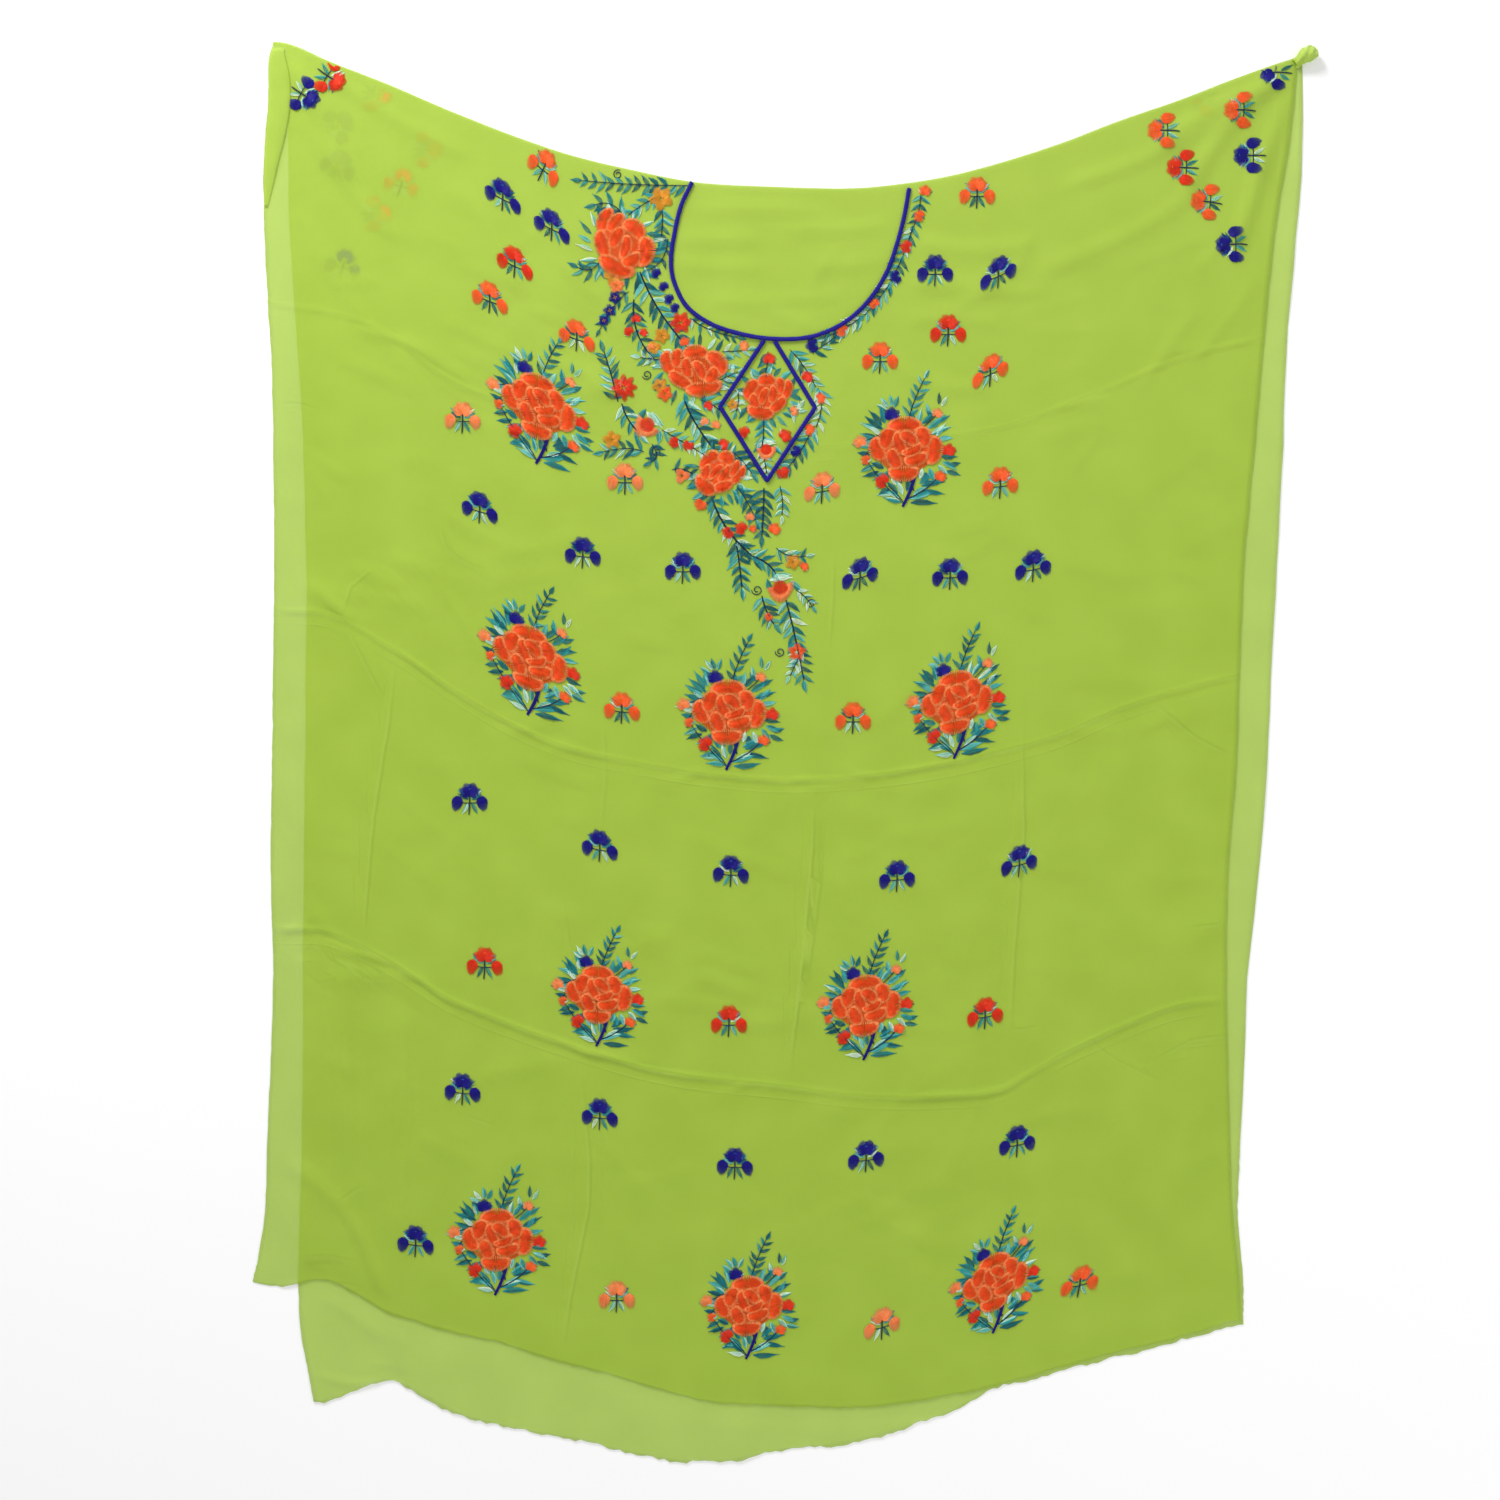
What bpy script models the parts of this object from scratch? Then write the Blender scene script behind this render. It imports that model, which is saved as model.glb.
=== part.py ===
"""Embroidered kurti length in sheer georgette, folded at the shoulder line and laid flat.

Metres, +Z up. The cloth lies in the XY plane with its neck towards +Y, and the front panel lies on the back panel.
The origin is on the surface that the cloth lies on, under the middle of its outline.
"""

import math
from collections import namedtuple

import bmesh
import bpy
from mathutils import Vector
from mathutils.bvhtree import BVHTree

# Driving sizes
HALF_WIDTH = 0.5325
HALF_LENGTH = 0.7100
WALL = 0.0010
GAP = 0.0003
FRONT_BASE = WALL + GAP

# The turned fold at the shoulder line
FOLD_RADIUS = (FRONT_BASE + WALL) / 2
FOLD_LIP = 0.0030
FOLD_STEPS = 4
CHORD_ALLOWANCE = 0.0015
BACK_INSET = FOLD_RADIUS + FOLD_LIP + GAP + CHORD_ALLOWANCE

# Where the front hangs over the back's left edge, it comes down to the surface
STEP_START = 0.010
STEP_WIDTH = 0.010

# Grid steps of the panels
FRONT_STEP = 0.036
BACK_STEP = 0.060
CREASE_STEP = 0.010

# Stations across the cloth: where the shoulder fold, the three storage creases and the two hems lie there
Station = namedtuple("Station", "across fold high_crease middle_crease low_crease front_hem back_hem")
STATIONS = tuple(
    Station(*row)
    for row in (
        (-0.5325, 0.710, 0.449, 0.142, -0.176, -0.530, -0.600),
        (-0.5005, 0.709, 0.446, 0.140, -0.178, -0.534, -0.642),
        (-0.4555, 0.690, 0.440, 0.136, -0.181, -0.529, -0.648),
        (-0.3955, 0.667, 0.417, 0.104, -0.210, -0.560, -0.629),
        (-0.3355, 0.641, 0.371, 0.064, -0.248, -0.579, -0.658),
        (-0.2755, 0.617, 0.347, 0.028, -0.273, -0.594, -0.676),
        (-0.2155, 0.597, 0.327, 0.003, -0.294, -0.611, -0.686),
        (-0.1455, 0.580, 0.312, -0.012, -0.315, -0.631, -0.703),
        (-0.0855, 0.569, 0.305, -0.022, -0.326, -0.648, -0.711),
        (-0.0055, 0.565, 0.302, -0.029, -0.334, -0.653, -0.700),
        (0.0745, 0.564, 0.307, -0.025, -0.344, -0.654, -0.688),
        (0.1545, 0.574, 0.315, -0.014, -0.345, -0.644, -0.664),
        (0.2145, 0.589, 0.324, 0.000, -0.338, -0.631, -0.636),
        (0.2745, 0.608, 0.344, 0.017, -0.304, -0.615, -0.620),
        (0.3345, 0.631, 0.369, 0.043, -0.276, -0.599, -0.603),
        (0.3945, 0.652, 0.392, 0.062, -0.254, -0.585, -0.589),
        (0.4545, 0.675, 0.409, 0.076, -0.248, -0.568, -0.571),
        (0.5145, 0.696, 0.417, 0.084, -0.243, -0.560, -0.562),
    )
)

# Sections down the cloth: where the side edges of each panel lie there
Section = namedtuple("Section", "down front_left front_right back_left back_right")
SECTIONS = tuple(
    Section(*row)
    for row in (
        (0.710, -0.5120, 0.5100, -0.5000, 0.5150),
        (0.692, -0.5165, 0.5110, -0.4995, 0.5165),
        (0.652, -0.5175, 0.5085, -0.4985, 0.5175),
        (0.592, -0.5215, 0.5005, -0.4975, 0.5165),
        (0.532, -0.5215, 0.4905, -0.4965, 0.5125),
        (0.462, -0.5185, 0.4825, -0.4925, 0.5055),
        (0.392, -0.5145, 0.4765, -0.4875, 0.5005),
        (0.312, -0.5125, 0.4695, -0.4825, 0.4975),
        (0.192, -0.5115, 0.4585, -0.4795, 0.4915),
        (0.072, -0.5125, 0.4535, -0.4795, 0.4855),
        (-0.018, -0.5135, 0.4505, -0.4805, 0.4815),
        (-0.118, -0.5145, 0.4425, -0.4815, 0.4735),
        (-0.218, -0.5125, 0.4405, -0.4825, 0.4625),
        (-0.288, -0.5135, 0.4415, -0.4825, 0.4595),
        (-0.368, -0.5175, 0.4435, -0.4835, 0.4555),
        (-0.458, -0.5205, 0.4465, -0.4855, 0.4525),
        (-0.508, -0.5275, 0.4515, -0.4870, 0.4560),
        (-0.531, -0.5325, 0.4535, -0.4875, 0.4575),
        (-0.578, -0.5325, 0.4555, -0.4845, 0.4580),
        (-0.648, -0.5325, 0.4555, -0.4720, 0.4580),
    )
)

# Storage creases that run across the cloth: their height at the left, in the middle and at the right
AcrossCrease = namedtuple("AcrossCrease", "station_column left middle right half_width")
ACROSS_CREASES = (
    AcrossCrease("high_crease", 0.0012, 0.0004, 0.0012, 0.009),
    AcrossCrease("middle_crease", 0.0014, 0.0020, 0.0015, 0.009),
    AcrossCrease("low_crease", 0.0018, 0.0022, 0.0018, 0.010),
)

# Folds and creases of the front, each along a curve from its start past its bend to its end
Fold = namedtuple("Fold", "start bend end height half_width")
FRONT_FOLDS = (
    # Storage creases down the cloth
    Fold((-0.3885, 0.106), (-0.3950, -0.035), (-0.4195, -0.175), 0.0012, 0.009),
    Fold((-0.2065, -0.300), (-0.1655, -0.438), (-0.2235, -0.610), 0.0018, 0.009),
    Fold((0.0425, 0.192), (0.0400, 0.080), (0.0305, -0.023), 0.0010, 0.009),
    Fold((0.0285, -0.031), (0.0265, -0.178), (0.0025, -0.332), 0.0020, 0.009),
    Fold((0.2345, 0.112), (0.2375, -0.100), (0.2225, -0.328), 0.0015, 0.009),
    # Soft folds that fall from the two held corners
    Fold((0.5110, 0.668), (0.4800, 0.610), (0.4450, 0.480), 0.0040, 0.012),
    Fold((0.5060, 0.676), (0.4350, 0.650), (0.3600, 0.600), 0.0035, 0.014),
    Fold((0.4980, 0.675), (0.4250, 0.625), (0.3950, 0.540), 0.0030, 0.014),
    Fold((-0.4950, 0.695), (-0.4650, 0.640), (-0.4300, 0.560), 0.0030, 0.014),
    # Soft drag folds beside the neck
    Fold((0.1250, 0.512), (0.1850, 0.492), (0.2550, 0.510), 0.0020, 0.014),
    Fold((0.1150, 0.430), (0.1650, 0.440), (0.2250, 0.425), 0.0018, 0.013),
    Fold((-0.1100, 0.515), (-0.0700, 0.508), (-0.0200, 0.515), 0.0015, 0.012),
    Fold((-0.2350, 0.392), (-0.1950, 0.375), (-0.1450, 0.350), 0.0015, 0.012),
    # The turned corner at the bottom left
    Fold((-0.5155, -0.406), (-0.4235, -0.443), (-0.4025, -0.552), 0.0040, 0.012),
    Fold((-0.4845, -0.506), (-0.4500, -0.500), (-0.4150, -0.512), 0.0016, 0.009),
    Fold((-0.4405, -0.188), (-0.4400, -0.320), (-0.4400, -0.430), 0.0026, 0.014),
    Fold((-0.3855, -0.228), (-0.3800, -0.400), (-0.3875, -0.555), 0.0026, 0.012),
)

# Folds of the back where it shows below the front's hem
BACK_FOLDS = (
    Fold((-0.4755, -0.545), (-0.4350, -0.560), (-0.3950, -0.600), 0.0022, 0.010),
    Fold((-0.3830, -0.575), (-0.3800, -0.600), (-0.3800, -0.632), 0.0030, 0.009),
    Fold((-0.1830, -0.640), (-0.1840, -0.670), (-0.1860, -0.700), 0.0012, 0.009),
)
BACK_FOLD_START = 0.016
BACK_FOLD_FADE = 0.012

# The side edge folded over on the front at the top left corner: its width at stations down the edge
TabSection = namedtuple("TabSection", "down width")
TAB = (
    TabSection(0.698, 0.0100),
    TabSection(0.680, 0.0190),
    TabSection(0.650, 0.0230),
    TabSection(0.615, 0.0235),
    TabSection(0.580, 0.0200),
    TabSection(0.545, 0.0120),
)
TAB_EDGE_INSET = 0.0012
TAB_COLUMNS = 4
TAB_REACH = 0.004

# The twisted tip at the top right corner: a gathered bundle, a row for each section along it
KnotSection = namedtuple("KnotSection", "across down height radius turn")
KNOT = (
    KnotSection(0.5125, 0.6905, 0.0062, 0.0046, 0.0),
    KnotSection(0.5170, 0.6940, 0.0074, 0.0072, 18.0),
    KnotSection(0.5225, 0.6970, 0.0078, 0.0077, 44.0),
    KnotSection(0.5275, 0.6990, 0.0072, 0.0066, 72.0),
    KnotSection(0.5310, 0.7000, 0.0060, 0.0036, 96.0),
)
KNOT_PLEATS = 5
KNOT_PLEAT_DEPTH = 0.16
KNOT_SIDES = 30

# Corded lines on the front
CORD_HALF_WIDTH = 0.0026
CORD_HEIGHT = 0.0016
CORD_STEP = 0.012
CORD_COLUMNS = 4
CORD_REACH = 0.004
NECK_LINE = (
    (-0.0930, 0.5620),
    (-0.1045, 0.5450),
    (-0.1120, 0.5150),
    (-0.1145, 0.4900),
    (-0.1120, 0.4700),
    (-0.0980, 0.4450),
    (-0.0735, 0.4275),
    (-0.0425, 0.4170),
    (-0.0170, 0.4130),
    (0.0145, 0.4130),
    (0.0395, 0.4190),
    (0.0645, 0.4330),
    (0.0850, 0.4540),
    (0.1010, 0.4800),
    (0.1120, 0.5080),
    (0.1190, 0.5350),
    (0.1235, 0.5600),
)
DIAMOND_CENTRE = (-0.0180, 0.3420)
DIAMOND_HALF_WIDTH = 0.0475
DIAMOND_TOP = 0.0655
DIAMOND_BOTTOM = 0.0720

# Large roses: centre, radius and the turn of the first petal
Rose = namedtuple("Rose", "across down radius turn")
ROSES = (
    Rose(-0.2475, 0.3450, 0.0390, 20.0),
    Rose(0.1205, 0.3000, 0.0380, 0.0),
    Rose(-0.2540, 0.0950, 0.0390, 15.0),
    Rose(-0.0555, 0.0370, 0.0370, 0.0),
    Rose(0.1700, 0.0480, 0.0360, 40.0),
    Rose(-0.1855, -0.2390, 0.0350, 10.0),
    Rose(0.0815, -0.2500, 0.0350, 30.0),
    Rose(-0.2950, -0.4820, 0.0360, 0.0),
    Rose(-0.0395, -0.5520, 0.0350, 25.0),
    Rose(0.2130, -0.5290, 0.0350, 50.0),
    Rose(-0.1645, 0.5060, 0.0340, 10.0),
    Rose(-0.0900, 0.3800, 0.0330, 35.0),
    Rose(-0.0180, 0.3540, 0.0250, 0.0),
    Rose(-0.0655, 0.2780, 0.0260, 20.0),
)
ROSE_SIDES = 24
ROSE_PETALS = 6
ROSE_LOBE = 0.10
ROSE_RIM_HEIGHT = 0.0009
ROSE_CROWN = 0.0019
ROSE_RINGS = (0.55, 1.0)
ROSE_REACH = 0.010
PAD_GAP = 0.0003

LIME = (0.402, 0.578, 0.090, 1.0)
NAVY = (0.012, 0.010, 0.150, 1.0)
ORANGE = (0.850, 0.130, 0.025, 1.0)


def clear_scene():
    for item in list(bpy.data.objects):
        bpy.data.objects.remove(item)


def collection(name):
    made = bpy.data.collections.new(name)
    bpy.context.scene.collection.children.link(made)
    return made


def material(name, colour, roughness):
    made = bpy.data.materials.new(name)
    made.use_nodes = True
    shader = made.node_tree.nodes["Principled BSDF"]
    shader.inputs["Base Color"].default_value = colour
    shader.inputs["Roughness"].default_value = roughness
    shader.inputs["Metallic"].default_value = 0.0
    return made


def smoothstep(share):
    share = min(1.0, max(0.0, share))
    return share * share * (3.0 - 2.0 * share)


def along_table(places, values, place):
    """A smooth curve through a table's values, with the table's own slopes between its rows."""
    last = len(places) - 1
    if (place - places[0]) * (places[last] - places[0]) <= 0.0:
        return values[0]
    if (place - places[last]) * (places[last] - places[0]) >= 0.0:
        return values[last]
    i = next(k for k in range(last) if (place - places[k]) * (place - places[k + 1]) <= 0.0)

    def slope(k):
        low, high = max(0, k - 1), min(last, k + 1)
        return (values[high] - values[low]) / (places[high] - places[low])

    span = places[i + 1] - places[i]
    t = (place - places[i]) / span
    first = (1 + 2 * t) * (1 - t) ** 2 * values[i] + t * (1 - t) ** 2 * span * slope(i)
    second = t * t * (3 - 2 * t) * values[i + 1] - t * t * (1 - t) * span * slope(i + 1)
    return first + second


def station(column, across):
    return along_table([s.across for s in STATIONS], [getattr(s, column) for s in STATIONS], across)


def section(column, down):
    return along_table([s.down for s in SECTIONS], [getattr(s, column) for s in SECTIONS], down)


def fold_curve(fold, steps=16):
    """Points along a fold, as a quadratic curve."""
    points = []
    for k in range(steps + 1):
        t = k / steps
        a, b, c = (1 - t) ** 2, 2 * t * (1 - t), t * t
        points.append(
            (
                a * fold.start[0] + b * fold.bend[0] + c * fold.end[0],
                a * fold.start[1] + b * fold.bend[1] + c * fold.end[1],
            )
        )
    return points


def ridge(distance, half_width):
    """A rounded ridge: 1 on its crest and 0 past its foot."""
    return 1.0 - smoothstep(distance / half_width)


def fold_height(fold, curve, x, y):
    """How far one fold lifts the cloth at a point. It fades towards both its ends."""
    best, where = 1e9, 0.0
    for k in range(len(curve) - 1):
        (ax, ay), (bx, by) = curve[k], curve[k + 1]
        dx, dy = bx - ax, by - ay
        t = ((x - ax) * dx + (y - ay) * dy) / (dx * dx + dy * dy)
        t = min(1.0, max(0.0, t))
        away = math.hypot(x - ax - t * dx, y - ay - t * dy)
        if away < best:
            best, where = away, (k + t) / (len(curve) - 1)
    fade = smoothstep(where / 0.15) * smoothstep((1.0 - where) / 0.15)
    return fold.height * fade * ridge(best, fold.half_width)


def folds_height(folds, curves, x, y):
    return sum(fold_height(f, c, x, y) for f, c in zip(folds, curves))


def crease_height(x, y):
    """The storage creases that run across the front, strongest where the table says."""
    total = 0.0
    for crease in ACROSS_CREASES:
        share = (x + HALF_WIDTH) / (2 * HALF_WIDTH)
        height = along_table((0.0, 0.5, 1.0), (crease.left, crease.middle, crease.right), share)
        total += height * ridge(abs(y - station(crease.station_column, x)), crease.half_width)
    return total


def front_rest(x, y):
    """The height that the front lies at: on the back, or on the surface past the back's left edge."""
    past = section("back_left", y) - x
    return FRONT_BASE * (1.0 - smoothstep((past - STEP_START) / STEP_WIDTH))


def front_underside(x, y, curves):
    return front_rest(x, y) + crease_height(x, y) + folds_height(FRONT_FOLDS, curves, x, y)


def marks_between(marks, step):
    """Grid lines at every mark, with evenly spaced ones between them no further apart than step."""
    lines = [marks[0]]
    for low, high in zip(marks, marks[1:]):
        count = max(1, math.ceil((high - low) / step - 1e-6))
        lines += [low + (high - low) * k / count for k in range(1, count + 1)]
    return lines


def front_point(u, v):
    """A place on the front: u goes from its left edge to its right, v from the shoulder fold to its hem."""
    rows = ("fold", "high_crease", "middle_crease", "low_crease", "front_hem")
    k = min(len(rows) - 2, int(v * (len(rows) - 1)))
    t = v * (len(rows) - 1) - k
    x = (2 * u - 1) * HALF_WIDTH
    for _ in range(4):
        upper = station(rows[k], x) - (FOLD_RADIUS if k == 0 else 0.0)
        y = (1 - t) * upper + t * station(rows[k + 1], x)
        left, right = section("front_left", y), section("front_right", y)
        x = left + u * (right - left)
    return x, y


def back_point(u, v):
    """A place on the back: u goes from its left edge to its right, v from the shoulder fold to its hem."""
    x = (2 * u - 1) * HALF_WIDTH
    for _ in range(4):
        y = (1 - v) * (station("fold", x) - BACK_INSET) + v * station("back_hem", x)
        left, right = section("back_left", y), section("back_right", y)
        x = left + u * (right - left)
    return x, y


def grid_mesh(name, rows, closed=False):
    """An open sheet of quads through rows of points, its faces in the order that makes them face up."""
    sheet = bmesh.new()
    made = [[sheet.verts.new(p) for p in row] for row in rows]
    for upper, lower in zip(made, made[1:]):
        count = len(upper)
        for k in range(count if closed else count - 1):
            nxt = (k + 1) % count
            sheet.faces.new((upper[k], lower[k], lower[nxt], upper[nxt]))
    mesh = bpy.data.meshes.new(name)
    sheet.to_mesh(mesh)
    sheet.free()
    return mesh


def add_object(name, mesh, look, group):
    item = bpy.data.objects.new(name, mesh)
    mesh.materials.append(look)
    mesh.shade_smooth()
    group.objects.link(item)
    return item


def thicken(item):
    """Gives an open sheet its wall, on the inner side of its points."""
    wall = item.modifiers.new("wall", "SOLIDIFY")
    wall.thickness = WALL
    wall.offset = -1.0
    wall.use_even_offset = False


def front_lines():
    """Grid lines of the front, close beside the left edge and each storage crease."""
    width = 2 * HALF_WIDTH
    edge = [0.0] + [k * STEP_WIDTH / width for k in range(1, 5)]
    crease_columns = (0.115, 0.322, 0.552, 0.773)
    beside = CREASE_STEP / width
    columns = edge + [c + side * beside for c in crease_columns for side in (-1, 0, 1)] + [0.985, 1.0]
    row_length = 2 * HALF_LENGTH * 0.86
    rows = [0.0]
    for crease in (0.25, 0.50, 0.75):
        rows += [crease + side * CREASE_STEP / row_length for side in (-1, 0, 1)]
    rows.append(1.0)
    return marks_between(columns, FRONT_STEP / width), marks_between(rows, FRONT_STEP / row_length)


def turned_fold(x, y, top):
    """The cloth's outer points where it turns over at the shoulder line, from its top down to its lip."""
    radius = top / 2
    step = 0.002
    rise = station("fold", x + step) - station("fold", x - step)
    out = Vector((-rise, 2 * step)).normalized()
    points = []
    for k in range(1, FOLD_STEPS + 1):
        angle = math.radians(90 - 180 * k / FOLD_STEPS)
        reach = radius * math.cos(angle)
        points.append((x + out.x * reach, y + out.y * reach, radius + radius * math.sin(angle)))
    points.append((x - out.x * FOLD_LIP, y - out.y * FOLD_LIP, 0.0))
    return points


def build_front(look, group):
    """The front panel: one wall of cloth over the back, turned over at the shoulder line."""
    columns, rows = front_lines()
    curves = [fold_curve(f) for f in FRONT_FOLDS]
    grid = []
    for v in rows:
        row = []
        for u in columns:
            x, y = front_point(u, v)
            row.append((x, y, front_underside(x, y, curves) + WALL))
        grid.append(row)
    turned = [turned_fold(*point) for point in grid[0]]
    for k in range(FOLD_STEPS + 1):
        grid.insert(0, [points[k] for points in turned])
    item = add_object("front_panel", grid_mesh("front_panel", grid), look, group)
    thicken(item)
    return item


def build_back(look, group):
    """The back panel: flat on the surface, with a few folds where it shows below the front's hem."""
    width = 2 * HALF_WIDTH
    length = 2 * HALF_LENGTH
    crease = 0.330
    columns = [0.0, 0.045, 0.080, 0.100, 0.112, 0.160, crease - 0.009, crease, crease + 0.009, 1.0]
    columns = marks_between(columns, BACK_STEP / width)
    rows = marks_between([0.0, 0.870, 0.890, 0.910, 0.930, 0.950, 0.970, 0.985, 1.0], BACK_STEP / length)
    curves = [fold_curve(f) for f in BACK_FOLDS]
    grid = []
    for v in rows:
        row = []
        for u in columns:
            x, y = back_point(u, v)
            past_hem = station("front_hem", x) - y
            shown = smoothstep((past_hem - BACK_FOLD_START) / BACK_FOLD_FADE)
            row.append((x, y, WALL + shown * folds_height(BACK_FOLDS, curves, x, y)))
        grid.append(row)
    item = add_object("back_panel", grid_mesh("back_panel", grid), look, group)
    thicken(item)
    return item


def surface_finder(item):
    """A function that gives the greatest height of an object's top within reach of a point."""
    tree = BVHTree.FromObject(item, bpy.context.evaluated_depsgraph_get())

    def height(x, y, reach):
        found = []
        for across in (-reach, 0.0, reach):
            for down in (-reach, 0.0, reach):
                place = tree.ray_cast(Vector((x + across, y + down, 1.0)), Vector((0.0, 0.0, -1.0)))[0]
                found.append(place.z if place else WALL)
        return max(found)

    return height


def closed_pad(name, tops, bottoms, look, group, ring=False):
    """A closed solid between two sheets of points: rows run along it, and a ring's rows close on themselves."""
    pad = bmesh.new()
    upper = [[pad.verts.new(p) for p in row] for row in tops]
    lower = [[pad.verts.new(p) for p in row] for row in bottoms]
    for sheet, flip in ((upper, False), (lower, True)):
        for near, far in zip(sheet, sheet[1:] + ([sheet[0]] if ring else [])):
            for k in range(len(near) - 1):
                corners = (near[k], far[k], far[k + 1], near[k + 1])
                pad.faces.new(corners[::-1] if flip else corners)
    count = len(upper)
    for k in range(count if ring else count - 1):
        nxt = (k + 1) % count
        pad.faces.new((upper[nxt][0], upper[k][0], lower[k][0], lower[nxt][0]))
        pad.faces.new((upper[k][-1], upper[nxt][-1], lower[nxt][-1], lower[k][-1]))
    if not ring:
        for k in range(len(upper[0]) - 1):
            pad.faces.new((upper[0][k], upper[0][k + 1], lower[0][k + 1], lower[0][k]))
            pad.faces.new((upper[-1][k + 1], upper[-1][k], lower[-1][k], lower[-1][k + 1]))
    bmesh.ops.recalc_face_normals(pad, faces=pad.faces)
    mesh = bpy.data.meshes.new(name)
    pad.to_mesh(mesh)
    pad.free()
    return add_object(name, mesh, look, group)


def build_tab(height, look, group):
    """The side edge folded over on the front below the top left corner."""
    downs = marks_between([s.down for s in TAB][::-1], 0.018)[::-1]
    tops, bottoms = [], []
    for down in downs:
        width = along_table([s.down for s in TAB], [s.width for s in TAB], down)
        left = section("front_left", down) + TAB_EDGE_INSET
        row = [left + width * k / TAB_COLUMNS for k in range(TAB_COLUMNS + 1)]
        floor = [height(x, down, TAB_REACH) + PAD_GAP for x in row]
        bottoms.append([(x, down, z) for x, z in zip(row, floor)])
        tops.append([(x, down, z + WALL) for x, z in zip(row, floor)])
    return closed_pad("left_corner_tab", tops, bottoms, look, group)


def build_knot(look, group):
    """The gathered, twisted tip at the top right corner: pleats wind round it from section to section."""
    knot = bmesh.new()
    first, last = KNOT[0], KNOT[-1]
    axis = Vector((last.across - first.across, last.down - first.down, 0.0)).normalized()
    side = axis.cross(Vector((0.0, 0.0, 1.0)))
    rings = []
    for row in KNOT:
        centre = Vector((row.across, row.down, row.height))
        ring = []
        for k in range(KNOT_SIDES):
            angle = 2 * math.pi * k / KNOT_SIDES
            wave = math.cos(KNOT_PLEATS * (angle - math.radians(row.turn)))
            radius = row.radius * (1.0 - KNOT_PLEAT_DEPTH * (0.5 - 0.5 * wave))
            offset = side * (radius * math.cos(angle)) + Vector((0.0, 0.0, radius * math.sin(angle)))
            ring.append(knot.verts.new(centre + offset))
        rings.append(ring)
    for near, far in zip(rings, rings[1:]):
        for k in range(KNOT_SIDES):
            nxt = (k + 1) % KNOT_SIDES
            knot.faces.new((near[k], near[nxt], far[nxt], far[k]))
    knot.faces.new(rings[0])
    knot.faces.new(rings[-1])
    bmesh.ops.recalc_face_normals(knot, faces=knot.faces)
    mesh = bpy.data.meshes.new("right_corner_knot")
    knot.to_mesh(mesh)
    knot.free()
    return add_object("right_corner_knot", mesh, look, group)


def smooth_path(points, step):
    """Places about step apart on a smooth curve through the points."""
    lengths = [0.0]
    for a, b in zip(points, points[1:]):
        lengths.append(lengths[-1] + math.dist(a, b))
    count = max(2, round(lengths[-1] / step))
    places = [lengths[-1] * k / count for k in range(count + 1)]
    xs, ys = [p[0] for p in points], [p[1] for p in points]
    return [(along_table(lengths, xs, s), along_table(lengths, ys, s)) for s in places]


def build_cord(name, path, height, look, group, ring=False):
    """A flat corded line that lies on the front: its section is a low arch."""
    tops, bottoms = [], []
    for k, (x, y) in enumerate(path):
        if ring:
            before, after = path[k - 1], path[(k + 1) % len(path)]
        else:
            before, after = path[max(0, k - 1)], path[min(len(path) - 1, k + 1)]
        along = Vector((after[0] - before[0], after[1] - before[1])).normalized()
        across = Vector((along.y, -along.x))
        top, bottom = [], []
        for j in range(CORD_COLUMNS + 1):
            share = 2 * j / CORD_COLUMNS - 1
            px = x + across.x * share * CORD_HALF_WIDTH
            py = y + across.y * share * CORD_HALF_WIDTH
            floor = height(px, py, CORD_REACH) + PAD_GAP
            arch = CORD_HEIGHT * (0.45 + 0.55 * math.sqrt(max(0.0, 1 - share * share)))
            bottom.append((px, py, floor))
            top.append((px, py, floor + arch))
        tops.append(top)
        bottoms.append(bottom)
    return closed_pad(name, tops, bottoms, look, group, ring)


def diamond_path():
    """The corners of the placket diamond, with places between them."""
    x, y = DIAMOND_CENTRE
    corners = (
        (x, y + DIAMOND_TOP),
        (x - DIAMOND_HALF_WIDTH, y),
        (x, y - DIAMOND_BOTTOM),
        (x + DIAMOND_HALF_WIDTH, y),
    )
    path = []
    for k, corner in enumerate(corners):
        after = corners[(k + 1) % len(corners)]
        count = round(math.dist(corner, after) / CORD_STEP)
        path += [
            (corner[0] + (after[0] - corner[0]) * i / count, corner[1] + (after[1] - corner[1]) * i / count)
            for i in range(count)
        ]
    return path


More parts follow.
